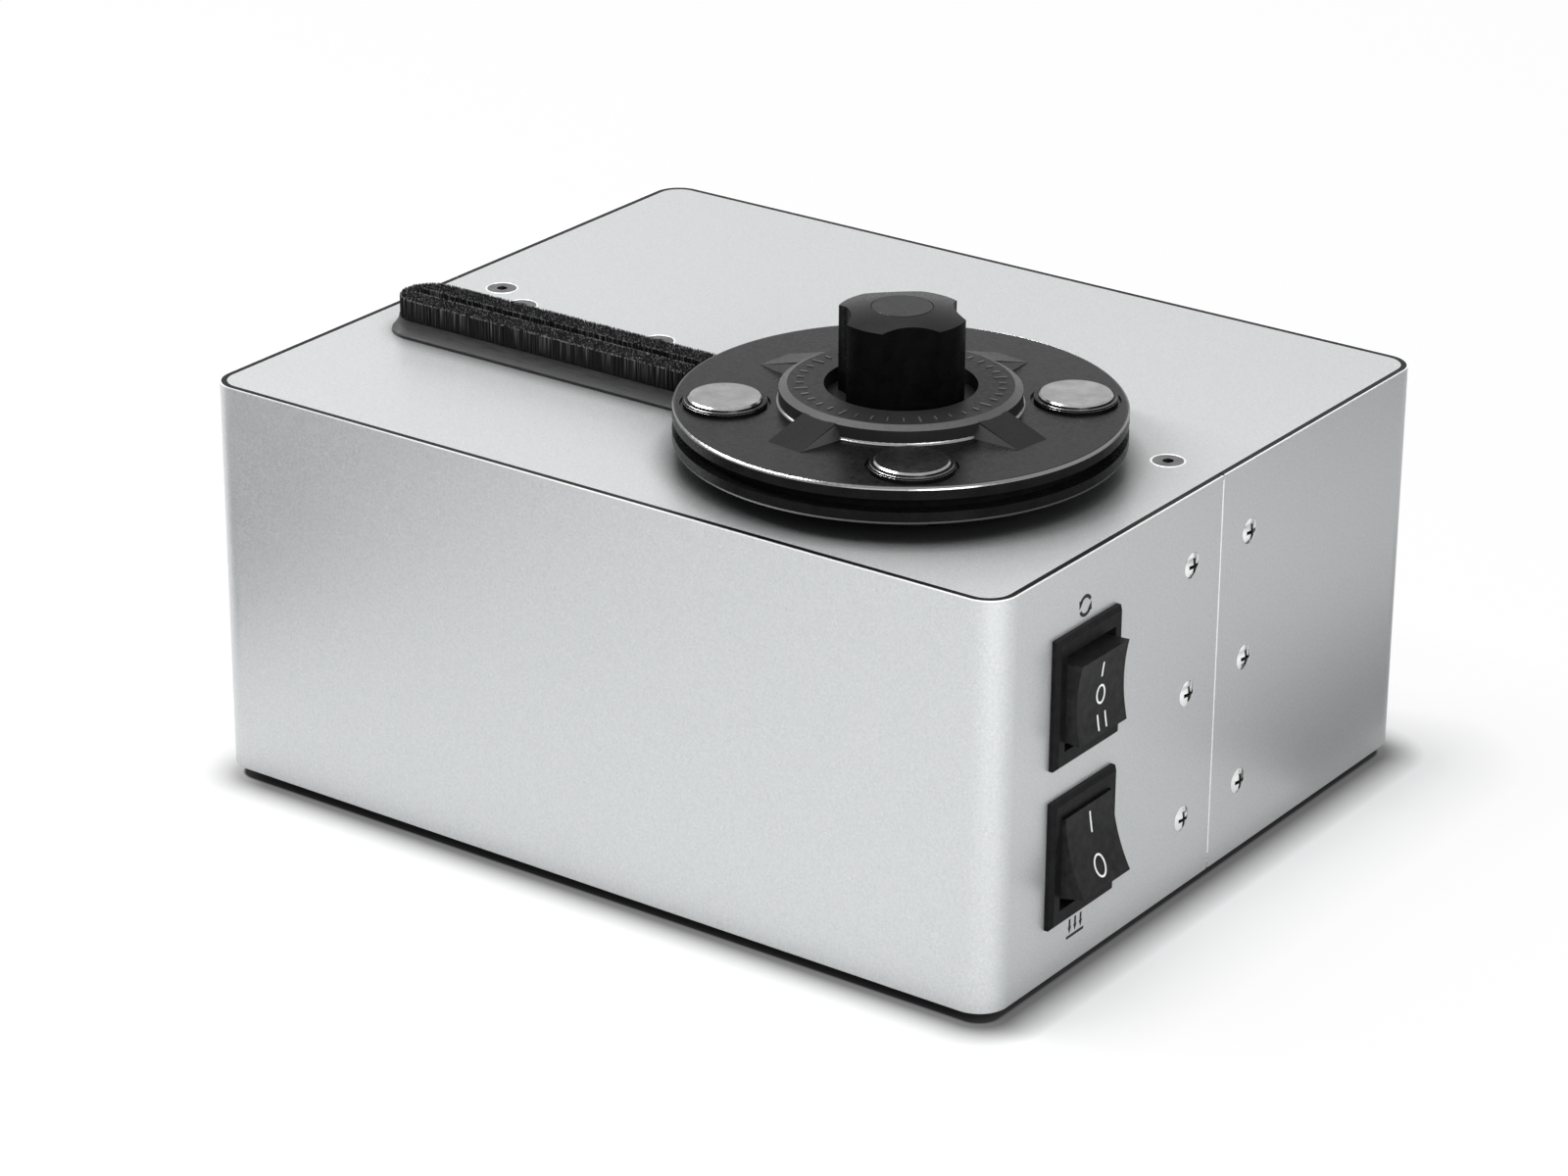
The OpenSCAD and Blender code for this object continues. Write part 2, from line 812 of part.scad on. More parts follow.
module small_screws() {
  color([0.55, 0.55, 0.56]) {
    nozzle_screw_places()
      rotate([180, 0, 0])
        pan_screw(duct_flange_t + top_t + 2.2);
    tank_screw_places()
      pan_screw(12);
    inlet_screw_places()
      countersunk(small_screw_d, small_head_d, inlet_t + wall_t + 4, hex_key - 0.5);
    housing_screw_places()
      countersunk(small_screw_d, small_head_d, top_t + 2.8, hex_key - 0.5);
    gearbox_screw_places()
      pan_screw(motor_plate_t + 5);
    foot_places()
      translate([0, 0, foot_h - 1.2])
        rotate([180, 0, 0])
          pan_screw(base_t + 1);
  }
}

module feet() {
  color([0.08, 0.08, 0.08])
    foot_places()
      difference() {
        cylinder(d1 = foot_d - 1, d2 = foot_d, h = foot_h);
        translate([0, 0, -1])
          cylinder(d = small_head_d + 0.8, h = foot_h - 0.2);
        translate([0, 0, -1])
          cylinder(d = small_screw_d + 2 * fit_gap, h = foot_h + 2);
      }
}

// Plan of the nozzle grown or shrunk to a half width r: round at the far
// end, hollowed at the near end so that it follows the rim of the discs
module nozzle_plan(r) {
  difference() {
    union() {
      translate([nozzle_cx, nozzle_y])
        circle(r);
      translate([nozzle_cx, nozzle_y - r])
        square([nozzle_x1 - nozzle_cx + nozzle_w, 2 * r]);
    }
    translate([spindle_x, spindle_y])
      circle(disc_clear_r + nozzle_r - r);
  }
}

// Half width of the flared skirt at a share t of its height
function skirt_r(t) = brush_r + 0.3 + (nozzle_r - brush_r - 0.3) * pow(1 - t, 1.7);

module skirt_half() {
  polygon([
    [0, 0], [nozzle_r, 0],
    for (k = [0:skirt_steps])
      [skirt_r(k / skirt_steps), skirt_lip + k / skirt_steps * (nozzle_h - skirt_lip)],
    [0, nozzle_h]
  ]);
}

module nozzle_body() {
  color([0.13, 0.13, 0.13])
    difference() {
      translate([nozzle_cx, nozzle_y, z_top]) {
        intersection() {
          rotate_extrude($fn = 96)
            skirt_half();
          translate([-nozzle_w, -nozzle_w, -1])
            cube([nozzle_w, 2 * nozzle_w, nozzle_h + 2]);
        }
        rotate([90, 0, 90])
          linear_extrude(nozzle_x1 - nozzle_cx + nozzle_w) {
            skirt_half();
            mirror([1, 0])
              skirt_half();
          }
      }
      translate([spindle_x, spindle_y, z_top - 1])
        cylinder(r = disc_clear_r, h = nozzle_h + 2);
      translate([slot_x0, nozzle_y - slot_w / 2, z_top - 1])
        cube([slot_x1 - slot_x0, slot_w, nozzle_h + 2]);
      nozzle_screw_places()
        cylinder(d = small_screw_d + 2 * fit_gap, h = duct_flange_t + top_t + 3);
    }
}

// Is a point inside the brush plan with a margin m, and clear of the slot?
function in_plan(x, y, m) =
  (x >= nozzle_cx ? abs(y) <= brush_r - m : norm([x - nozzle_cx, y]) <= brush_r - m)
  && norm([x - spindle_x, y + nozzle_y - spindle_y]) >= disc_clear_r + nozzle_r - brush_r + m
  && (abs(y) >= slot_w / 2 + m || x < slot_x0 - m || x > slot_x1 + m);

tuft_rows = floor((brush_w - 2 * tuft_r) / (tuft_pitch * 0.87));
tuft_spots = [
  for (j = [0:tuft_rows])
    for (i = [0:floor((nozzle_x1 - nozzle_x0 + brush_r) / tuft_pitch)])
      let (
        y = (j - tuft_rows / 2) * tuft_pitch * 0.87,
        x = nozzle_x0 + (i + (j % 2) / 2) * tuft_pitch
      )
      if (in_plan(x, y, tuft_r + 0.02)) [x, nozzle_y + y]
];
echo(tufts = len(tuft_spots));

// All tufts as one closed mesh: each is a slim three-sided spike
module tufts(z0, z1) {
  n = len(tuft_spots);
  points = [
    for (p = tuft_spots)
      for (ring = [[z0, tuft_r], [z1, tuft_r * 0.8]])
        for (a = [0:120:240])
          [p.x + ring[1] * cos(a + 30), p.y + ring[1] * sin(a + 30), ring[0]]
  ];
  faces = [
    for (k = [0:n - 1])
      for (f = [[0, 1, 2], [3, 5, 4], [0, 3, 4], [0, 4, 1], [1, 4, 5], [1, 5, 2], [2, 5, 3], [2, 3, 0]])
        [for (v = f) 6 * k + v]
  ];
  polyhedron(points, faces);
}

module brush() {
  backing_z = z_top + nozzle_h;
  color([0.06, 0.06, 0.06])
    resize([0, 0, brush_top - nozzle_h])
      union() {
        translate([0, 0, backing_z])
          linear_extrude(backing_t)
            difference() {
              nozzle_plan(brush_r);
              translate([slot_x0, nozzle_y - slot_w / 2])
                square([slot_x1 - slot_x0, slot_w]);
            }
        tufts(backing_z + backing_t / 2, z_top + brush_top);
      }
}

module nozzle_duct() {
  trough_x = slot_x1 - slot_x0 + 2 * pipe_wall;
  color([0.16, 0.16, 0.17])
    difference() {
      union() {
        translate([slot_x0 - 8, nozzle_y - nozzle_r, z_ceil - duct_flange_t])
          cube([slot_x1 - slot_x0 + 12, nozzle_w, duct_flange_t]);
        translate([slot_x0 - pipe_wall, nozzle_y - duct_w / 2, duct_z])
          cube([trough_x, duct_w, duct_h + eps]);
        translate([pipe_x, nozzle_y, pipe_end])
          cylinder(d = pipe_d, h = duct_z + duct_h / 2 - pipe_end);
      }
      translate([slot_x0, nozzle_y - duct_w / 2 + pipe_wall, duct_z + pipe_wall])
        cube([slot_x1 - slot_x0, duct_w - 2 * pipe_wall, duct_h - pipe_wall]);
      translate([slot_x0, nozzle_y - slot_w / 2, duct_z + duct_h - 1])
        cube([slot_x1 - slot_x0, slot_w, duct_flange_t + 2]);
      translate([pipe_x, nozzle_y, pipe_end - 1])
        cylinder(d = pipe_d - 2 * pipe_wall, h = duct_z - pipe_end + pipe_wall + 2);
      nozzle_screw_places()
        translate([0, 0, -1])
          cylinder(d = small_screw_d + 2 * fit_gap, h = duct_flange_t + 2);
    }
}

module tank_footprint(inset) {
  translate([tank_x0 + inset, tank_y0 + inset])
    square([tank_x1 - tank_x0 - 2 * inset, tank_y1 - tank_y0 - 2 * inset]);
}

module tank_posts(extra) {
  for (x = tank_screw_x)
    for (y = tank_screw_y)
      translate([x, y])
        circle(d = tank_post + extra);
}

module tank() {
  color([0.55, 0.57, 0.58])
    difference() {
      union() {
        difference() {
          translate([0, 0, tank_z])
            linear_extrude(tank_h)
              tank_footprint(0);
          translate([0, 0, tank_z + tank_wall])
            linear_extrude(tank_h)
              tank_footprint(tank_wall);
        }
        translate([0, 0, tank_z + tank_wall / 2])
          linear_extrude(tank_h - tank_wall / 2)
            tank_posts(0);
      }
      tank_screw_places()
        translate([0, 0, -14])
          cylinder(d = small_screw_d + 2 * fit_gap, h = 20);
      translate([vac_x, tank_y1 + 1, vac_z])
        rotate([90, 0, 0])
          cylinder(d = intake_d, h = tank_wall + 2);
      translate([tank_x0 - 1, drain_y, drain_cz])
        rotate([0, 90, 0])
          cylinder(d = drain_d + 2 * fit_gap, h = tank_wall + 2);
    }
}

module tank_gasket() {
  color([0.1, 0.1, 0.1])
    translate([0, 0, tank_top])
      linear_extrude(gasket_t)
        difference() {
          union() {
            difference() {
              tank_footprint(0);
              tank_footprint(tank_wall);
            }
            tank_posts(0);
          }
          for (x = tank_screw_x)
            for (y = tank_screw_y)
              translate([x, y])
                circle(d = small_screw_d + 2 * fit_gap);
        }
}

// Lid with the splash wall that keeps drops out of the air intake
module tank_lid() {
  splash_w = intake_d + 14;
  splash_h = tank_h / 2 + intake_d / 2 + 2;
  color([0.5, 0.52, 0.53])
    difference() {
      union() {
        translate([0, 0, lid_z])
          linear_extrude(lid_t)
            tank_footprint(0);
        translate([vac_x - splash_w / 2, tank_y1 - tank_wall - 14, lid_z - splash_h])
          cube([splash_w, 2, splash_h + eps]);
      }
      translate([pipe_x, nozzle_y, lid_z - 1])
        cylinder(d = pipe_d + 2 * grommet_lip, h = lid_t + 2);
      tank_screw_places()
        translate([0, 0, -lid_t - 1])
          cylinder(d = small_screw_d + 2 * fit_gap, h = lid_t + 2);
    }
}

module lid_grommet() {
  color([0.08, 0.08, 0.08])
    translate([pipe_x, nozzle_y, lid_z])
      difference() {
        union() {
          cylinder(d = pipe_d + 2 * grommet_lip - 2 * fit_gap, h = lid_t);
          translate([0, 0, lid_t])
            cylinder(d = pipe_d + 2 * grommet_lip + 2, h = 1);
        }
        translate([0, 0, -1])
          cylinder(d = pipe_d + 2 * fit_gap, h = lid_t + 3);
      }
}

// Drain tube through the tank and casing walls, with its outside flange
module drain_tube() {
  inner = tank_x0 + tank_wall + 3;
  color([0.14, 0.14, 0.15])
    translate([0, drain_y, drain_cz])
      rotate([0, -90, 0])
        difference() {
          union() {
            translate([0, 0, -inner])
              cylinder(d = drain_d, h = inner + body_w / 2 + drain_reach);
            translate([0, 0, body_w / 2])
              cylinder(d = drain_d + 6, h = drain_flange_t);
          }
          translate([0, 0, -inner - 1])
            cylinder(r = drain_bore, h = inner + body_w / 2 + drain_reach + 2);
        }
}

module drain_cap() {
  color([0.07, 0.07, 0.07])
    translate([-body_w / 2 - drain_flange_t - 1, drain_y, drain_cz])
      rotate([0, -90, 0])
        difference() {
          union() {
            cylinder(d = drain_d + 2 * cap_wall, h = drain_reach - drain_flange_t + 1);
            cylinder(d = drain_d + 2 * cap_wall + 1.6, h = 2);
          }
          translate([0, 0, -1])
            cylinder(d = drain_d + 2 * fit_gap, h = drain_reach - drain_flange_t + 0.2);
        }
}

// Places things on the vacuum unit's axis, +Z of the child runs to the rear
module on_vac_axis(y) {
  translate([vac_x, y, vac_z])
    rotate([-90, 0, 0])
      children();
}

module fan_gasket() {
  color([0.1, 0.1, 0.1])
    on_vac_axis(tank_y1)
      tube(intake_d + 16, intake_d, fan_gasket_l);
}

module fan_case() {
  color([0.7, 0.71, 0.72])
    on_vac_axis(fan_y0)
      difference() {
        cylinder(d = fan_d, h = fan_l);
        translate([0, 0, fan_wall])
          cylinder(d = fan_d - 2 * fan_wall, h = fan_l);
        translate([0, 0, -1])
          cylinder(d = intake_d, h = fan_wall + 2);
      }
}

module fan_wheel() {
  blade_t = 1;
  eye_r = intake_d / 2 + 1;
  color([0.8, 0.81, 0.82])
    on_vac_axis(wheel_y)
      difference() {
        union() {
          translate([0, 0, wheel_h - 1.2])
            cylinder(d = wheel_d, h = 1.2);
          difference() {
            cylinder(d = wheel_d, h = 1);
            translate([0, 0, -1])
              cylinder(r = eye_r, h = 3);
          }
          for (k = [0:wheel_blades - 1])
            rotate([0, 0, k * 360 / wheel_blades])
              translate([eye_r + 0.8, 0, 0.5])
                rotate([0, 0, 35])
                  cube([wheel_d / 2 - eye_r - 3.5, blade_t, wheel_h - 1]);
          cylinder(d = vac_shaft_d + 8, h = wheel_h);
        }
        translate([0, 0, -1])
          cylinder(d = vac_shaft_d + 2 * run_gap, h = wheel_h + 2);
      }
}

// Cast frame that closes the fan case and carries both bearings
module motor_frame() {
  bore = vac_motor_d - 2 * frame_wall;
  front_seat = bearing_w + 2;
  color([0.62, 0.63, 0.64])
    on_vac_axis(fan_y1)
      difference() {
        union() {
          cylinder(d = fan_d, h = frame_plate_t);
          tube(vac_motor_d, bore, frame_plate_t + vac_motor_l);
          cylinder(d = bearing_d + 6, h = front_seat);
          translate([0, 0, frame_plate_t + vac_motor_l - frame_wall - bearing_w])
            cylinder(d = bearing_d + 6, h = frame_wall + bearing_w);
          for (a = [0, 90])
            rotate([0, 0, a + 45])
              translate([-vac_motor_d / 2 + 1, -4, frame_plate_t + vac_motor_l - frame_wall])
                cube([vac_motor_d - 2, 8, frame_wall]);
        }
        for (a = [0:60:300])
          rotate([0, 0, a])
            translate([fan_d / 2 - 16, 0, -1])
              cylinder(d = 9, h = frame_plate_t + 2);
        for (a = [0:90:270])
          rotate([0, 0, a])
            translate([vac_motor_d / 2 - 5, -9, frame_plate_t + vac_motor_l - 12])
              cube([10, 18, 8]);
        translate([0, 0, 2])
          cylinder(d = bearing_d + 2 * fit_gap, h = front_seat);
        translate([0, 0, frame_plate_t + vac_motor_l - frame_wall - bearing_w - 1])
          cylinder(d = bearing_d + 2 * fit_gap, h = bearing_w + 1);
        translate([0, 0, -1])
          cylinder(d = vac_shaft_d + 2, h = frame_plate_t + vac_motor_l + 2);
      }
}

module vacuum_bearings() {
  rear_y = fan_y1 + frame_plate_t + vac_motor_l - frame_wall - bearing_w;
  color([0.78, 0.78, 0.8])
    for (y = [fan_y1 + 2, rear_y])
      on_vac_axis(y)
        tube(bearing_d, vac_shaft_d + 2 * run_gap, bearing_w);
}

module vacuum_stator() {
  outer = vac_motor_d - 2 * frame_wall - 2 * fit_gap;
  color([0.5, 0.3, 0.2])
    on_vac_axis(stator_y)
      difference() {
        union() {
          tube(outer, stator_bore, stator_l);
          for (a = [0, 180])
            rotate([0, 0, a])
              translate([stator_bore / 2 + 2, -12, -5])
                cube([7, 24, stator_l + 10]);
        }
        translate([0, 0, -10])
          cylinder(d = stator_bore, h = stator_l + 20);
      }
}

module vacuum_armature() {
  front = fan_wall + 1;
  total = frame_y1 - fan_y0 - front;
  color([0.72, 0.6, 0.5])
    on_vac_axis(fan_y0 + front) {
      cylinder(d = vac_shaft_d, h = total);
      translate([0, 0, stator_y - fan_y0 - front])
        cylinder(d = stator_bore - 1.2, h = stator_l);
      translate([0, 0, stator_y - fan_y0 - front + stator_l - eps])
        cylinder(d = 18, h = 3);
    }
}

module fan_hanger() {
  low = vac_z + fan_d / 2 - 12;
  color([0.3, 0.3, 0.31])
    difference() {
      translate([vac_x - hanger_pitch / 2 - 4, hanger_y - hanger_w / 2, low])
        cube([hanger_pitch + 8, hanger_w, z_ceil - low]);
      on_vac_axis(fan_y0 - 1)
        cylinder(d = fan_d + 2 * fit_gap, h = fan_l + 2);
      for (s = [-1, 1])
        translate([vac_x + s * hanger_pitch / 2, hanger_y, low - 1])
          cylinder(d = top_screw_d + 2 * fit_gap, h = z_ceil - low + 2);
    }
}

module fan_saddle() {
  color([0.1, 0.1, 0.1])
    difference() {
      translate([vac_x - 24, hanger_y - hanger_w / 2, z_floor])
        cube([48, hanger_w, 12]);
      on_vac_axis(fan_y0 - 1)
        cylinder(d = fan_d + 2 * fit_gap, h = fan_l + 2);
    }
}

module exhaust_filter() {
  color([0.2, 0.2, 0.21])
    translate([vac_x - 32, in_y - 6, vac_z - 26])
      cube([64, 6, 52]);
}

module bearing_housing() {
  color([0.8, 0.8, 0.82])
    translate([spindle_x, spindle_y, 0])
      difference() {
        union() {
          translate([0, 0, z_ceil - housing_h])
            cylinder(d = housing_d, h = housing_h + top_t);
          translate([0, 0, z_ceil - 3])
            cylinder(d = housing_d + 16, h = 3);
        }
        translate([0, 0, z_ceil - housing_h - 1])
          cylinder(d = shaft_d + 2 * bush_wall + 2 * fit_gap, h = housing_h + top_t + 2);
        for (a = [0:120:240])
          rotate([0, 0, a])
            translate([housing_screw_r, 0, z_ceil - 4])
              cylinder(d = small_screw_d + 2 * fit_gap, h = 5);
      }
}

module bush(length) {
  difference() {
    union() {
      translate([0, 0, -eps])
        cylinder(d = shaft_d + 2 * bush_wall, h = length + eps);
      translate([0, 0, -bush_flange_t])
        cylinder(d = housing_d - 1, h = bush_flange_t);
    }
    translate([0, 0, -bush_flange_t - 1])
      cylinder(d = shaft_d + 2 * run_gap, h = length + bush_flange_t + 2);
  }
}

module spindle_bushes() {
  color([0.72, 0.55, 0.3])
    translate([spindle_x, spindle_y, 0]) {
      translate([0, 0, z_ceil - housing_h])
        bush(9);
      translate([0, 0, z_top])
        rotate([180, 0, 0])
          bush(9);
    }
}

module spindle() {
  color([0.82, 0.83, 0.84])
    translate([spindle_x, spindle_y, 0])
      difference() {
        union() {
          translate([0, 0, shaft_end])
            cylinder(d = shaft_d, h = flange_z - shaft_end + eps);
          translate([0, 0, flange_z])
            cylinder(d = flange_d, h = flange_t);
          translate([0, 0, platter_z - eps])
            cylinder(d = pilot_d, h = web_t + eps);
          translate([0, 0, platter_face - eps])
            cylinder(d = pin_d, h = pin_fit_h + eps);
          translate([0, 0, platter_face + pin_fit_h - eps])
            cylinder(d = pin_lead_d, h = pin_h - pin_fit_h - pin_tip + eps);
          translate([0, 0, pin_end - pin_tip])
            cylinder(d1 = pin_lead_d, d2 = pin_lead_d - 2 * pin_tip, h = pin_tip);
        }
        platter_screw_places()
          translate([0, 0, -5])
            cylinder(d = small_screw_d + 2 * fit_gap, h = 6);
      }
}

module platter_screw_places() {
  for (a = [30:120:270])
    rotate([0, 0, a])
      translate([platter_screw_r, 0, platter_z])
        children();
}

module platter_screws() {
  color([0.5, 0.5, 0.5])
    translate([spindle_x, spindle_y, 0])
      platter_screw_places()
        translate([0, 0, web_t])
          countersunk(small_screw_d, small_head_d, web_t + flange_t - 0.4, hex_key - 0.5);
}

// Outline, radius against height, of half a disc moulding with its flat face at 0
module disc_profile(hub_h) {
  polygon([
    [ring_hole_r - 3, 0], [disc_r, 0], [disc_r, rim_t - rim_round],
    [disc_r - 0.29 * rim_round, rim_t - 0.29 * rim_round], [disc_r - rim_round, rim_t],
    [ring_r, dome_h], [ring_r, hub_h - 0.9], [ring_r - 1.9, hub_h], [ring_hole_r, hub_h],
    [ring_hole_r, dome_h], [ring_hole_r - 3, dome_h]
  ]);
}

module magnet_places() {
  for (k = [0:3])
    rotate([0, 0, magnet_turn + 90 * k])
      translate([magnet_pcd_r, 0, 0])
        children();
}

// One disc: flat face at z = 0, hub ring and magnets on its +Z side
module disc_moulding(hub_h, seat_low, seat_high, bore) {
  pocket = magnet_top - magnet_t;
  difference() {
    union() {
      rotate_extrude($fn = 96)
        disc_profile(hub_h);
      translate([0, 0, seat_low])
        cylinder(r = ring_hole_r + 0.5, h = seat_high - seat_low);
      for (k = [0:3])
        rotate([0, 0, spoke_turn + 90 * k])
          translate([0, spoke_w / 2, 0])
            rotate([90, 0, 0])
              linear_extrude(spoke_w)
                polygon([
                  [ring_r - 2, 1], [spoke_r, 1], [spoke_r, dome_h - 0.4],
                  [ring_r - 0.4, hub_h - 0.8], [ring_r - 2, hub_h - 0.8]
                ]);
      magnet_places()
        cylinder(d = magnet_d + 2 * collar_wall, h = collar_h);
    }
    rotate_extrude($fn = 96)
      translate([ring_hole_r + ring_wall, -1])
        square([ring_r - ring_hole_r - 2 * ring_wall, hub_h - ring_wall + 1]);
    magnet_places()
      translate([0, 0, pocket])
        cylinder(d = magnet_d + 2 * fit_gap, h = magnet_t + 2);
    magnet_places()
      translate([0, 0, rim_t - groove_depth])
        difference() {
          cylinder(d = magnet_d + 2 * collar_wall + 1.6, h = collar_h);
          translate([0, 0, -1])
            cylinder(d = magnet_d + 2 * collar_wall, h = collar_h + 2);
        }
    translate([0, 0, seat_high])
      cylinder(r = ring_hole_r, h = hub_h + 2);
    translate([0, 0, -1])
      cylinder(r = ring_hole_r - 2, h = seat_low + 1);
    translate([0, 0, -1])
      cylinder(d = bore, h = hub_h + 2);
  }
}

module on_spindle(z) {
  translate([spindle_x, spindle_y, z])
    children();
}

module platter() {
  color([0.13, 0.13, 0.13])
    difference() {
      on_spindle(platter_face)
        mirror([0, 0, 1])
          disc_moulding(under_ring_h, 0, web_t, pilot_d + 2 * fit_gap);
      on_spindle(0)
        platter_screw_places()
          translate([0, 0, web_t])
            countersunk_hole(small_screw_d, small_head_d, web_t + 1);
    }
}

// A magnet disc with bevelled edges
module magnet() {
  bevel = 0.4;
  r = magnet_d / 2;
  rotate_extrude()
    polygon([[0, 0], [r, 0], [r, magnet_t - bevel], [r - bevel, magnet_t], [0, magnet_t]]);
}

module platter_magnets() {
  color([0.8, 0.8, 0.8])
    on_spindle(platter_face - magnet_top + magnet_t)
      mirror([0, 0, 1])
        magnet_places()
          magnet();
}

module seal(z) {
  color([0.07, 0.07, 0.07])
    on_spindle(z)
      tube(2 * seal_out, 2 * (seal_out - seal_w), seal_t);
}

module platter_seal() {
  seal(platter_face);
}

module clamp_seal() {
  seal(clamp_face - seal_t);
}

module clamp_disc() {
  color([0.13, 0.13, 0.13])
    on_spindle(clamp_face)
      disc_moulding(ring_h, web_low, knob_seat, clamp_bush_d + 2 * fit_gap);
}

module clamp_magnets() {
  color([0.8, 0.8, 0.8])
    on_spindle(clamp_face + magnet_top - magnet_t)
      magnet_places()
        magnet();
}

module clamp_bush() {
  color([0.72, 0.6, 0.32])
    on_spindle(clamp_face)
      difference() {
        union() {
          translate([0, 0, 0.3])
            cylinder(d = clamp_bush_d + 8, h = web_low - 0.3);
          translate([0, 0, 0.3])
            cylinder(d = clamp_bush_d, h = bush_top - 0.3);
        }
        translate([0, 0, -1])
          cylinder(d = pin_d + 2 * fit_gap, h = pin_room + 1);
        translate([0, 0, -1])
          cylinder(d = 4 + 2 * fit_gap, h = bush_top + 2);
      }
}

// Plan of the knob: a circle with four wide finger hollows
module knob_plan() {
  chord = knob_r * sin(flute_half);
  deep = knob_r * cos(flute_half) - flute_depth;
  flute_r = (chord * chord + flute_depth * flute_depth) / (2 * flute_depth);
  difference() {
    circle(knob_r, $fn = 96);
    for (a = [0:90:270])
      rotate(a + knob_turn)
        translate([deep + flute_r, 0])
          circle(flute_r, $fn = 96);
  }
}

module clamp_knob() {
  low = knob_seat;
  color([0.1, 0.1, 0.1])
    on_spindle(clamp_face)
      difference() {
        intersection() {
          translate([0, 0, low])
            linear_extrude(knob_top - low)
              knob_plan();
          translate([0, 0, knob_top - crown_r])
            sphere(crown_r, $fn = 96);
        }
        translate([0, 0, low - 1])
          cylinder(d = clamp_bush_d + 2 * fit_gap, h = bush_top - low + 1);
        translate([0, 0, low])
          cylinder(d = 4 + 2 * fit_gap, h = knob_top);
        translate([0, 0, bush_top + 2])
          cylinder(d = knob_head_d + 1, h = knob_top);
        translate([0, 0, cap_low])
          cylinder(d = cap_d + 2 * fit_gap, h = cap_t + 2);
      }
}

module knob_screw() {
  color([0.7, 0.7, 0.72])
    on_spindle(clamp_face)
      difference() {
        union() {
          translate([0, 0, pin_room + 0.6])
            cylinder(d = 4, h = bush_top + 2 - pin_room - 0.5);
          translate([0, 0, bush_top + 2])
            cylinder(d = knob_head_d, h = 2.4);
        }
        translate([0, 0, bush_top + 3])
          cylinder(d = 3.4, h = 3, $fn = 6);
      }
}

module knob_cap() {
  low = cap_low;
  bevel = 0.2;
  color([0.12, 0.12, 0.12])
    on_spindle(clamp_face) {
      translate([0, 0, low])
        cylinder(d = cap_d, h = cap_t + 0.15 - bevel);
      translate([0, 0, low + cap_t + 0.15 - bevel - eps])
        cylinder(d1 = cap_d, d2 = cap_d - 2 * bevel, h = bevel + eps);
    }
}

module shaft_coupling() {
  low = coupling_mid - coupling_h / 2;
  color([0.7, 0.71, 0.73])
    on_spindle(low)
      difference() {
        cylinder(d = coupling_d, h = coupling_h);
        translate([0, 0, -1])
          cylinder(d = output_d + 2 * fit_gap, h = coupling_h);
        translate([0, 0, coupling_h / 2])
          cylinder(d = shaft_d + 2 * fit_gap, h = coupling_h);
        for (z = [coupling_h * 0.25, coupling_h * 0.75])
          translate([0, 0, z])
            rotate([0, 90, 0])
              cylinder(d = 3, h = coupling_d);
      }
}

module gearbox_shaft() {
  low = gearbox_top - gearbox_bore_depth + 0.5;
  color([0.8, 0.8, 0.82])
    on_spindle(low)
      cylinder(d = output_d, h = coupling_mid - 0.5 - low);
}

module motor_plate() {
  color([0.75, 0.76, 0.77])
    difference() {
      on_spindle(gearbox_top)
        linear_extrude(motor_plate_t)
          rounded(motor_plate_w, motor_plate_w, 4);
      on_spindle(gearbox_top - 1)
        cylinder(d = output_d + 4, h = motor_plate_t + 2);
      post_places()
        translate([0, 0, post_bottom - motor_plate_t])
          rotate([180, 0, 0])
            countersunk_hole(top_screw_d, top_head_d, motor_plate_t + 1);
      gearbox_screw_places()
        translate([0, 0, -motor_plate_t - 1])
          cylinder(d = small_screw_d + 2 * fit_gap, h = motor_plate_t + 2);
    }
}

module motor_posts() {
  color([0.8, 0.81, 0.82])
    post_places()
      translate([0, 0, post_bottom])
        difference() {
          cylinder(d = post_d, h = post_h);
          translate([0, 0, -1])
            cylinder(d = top_screw_d + 2 * fit_gap, h = 9);
          translate([0, 0, post_h - 10])
            cylinder(d = top_screw_d + 2 * fit_gap, h = 12);
        }
}

module gearbox() {
  color([0.35, 0.36, 0.38])
    difference() {
      on_spindle(gearbox_z)
        cylinder(d = gearbox_d, h = gearbox_h);
      on_spindle(gearbox_top - gearbox_bore_depth)
        cylinder(d = output_d + 2 * run_gap, h = gearbox_bore_depth + 1);
      gearbox_screw_places()
        translate([0, 0, -motor_plate_t - 6])
          cylinder(d = small_screw_d + 2 * fit_gap, h = 7);
      on_spindle(gearbox_z + gearbox_h * 0.45)
        tube(gearbox_d + 2, gearbox_d - 1.2, 0.8);
    }
}

// Motor can with a rounded lower step and its two tabs on the rear side
module motor_can() {
  color([0.62, 0.63, 0.64])
    on_spindle(can_z) {
      translate([0, 0, 3])
        cylinder(d = can_d, h = can_h - 3);
      cylinder(d = can_d * 0.55, h = 3 + eps);
      for (s = [-1, 1])
        translate([s * 6 - 0.4, can_d / 2 - 1, can_h / 2 - 1])
          cube([0.8, 5, 3]);
    }
}

// Bezel of a switch with its four outer edges taken off
module bezel_block() {
  cut = 0.9;
  difference() {
    translate([0, -bezel_w / 2, -bezel_h / 2])
      cube([bezel_t, bezel_w, bezel_h]);
    for (s = [-1, 1]) {
      translate([bezel_t, s * bezel_w / 2, 0])
        rotate([0, 0, 45])
          cube([cut * 1.4, cut * 1.4, bezel_h + 2], center = true);
      translate([bezel_t, 0, s * bezel_h / 2])
        rotate([0, 45, 0])
          cube([cut * 1.4, bezel_w + 2, cut * 1.4], center = true);
    }
  }
}

module at_switch(z) {
  translate([body_w / 2, switch_y, z])
    children();
}

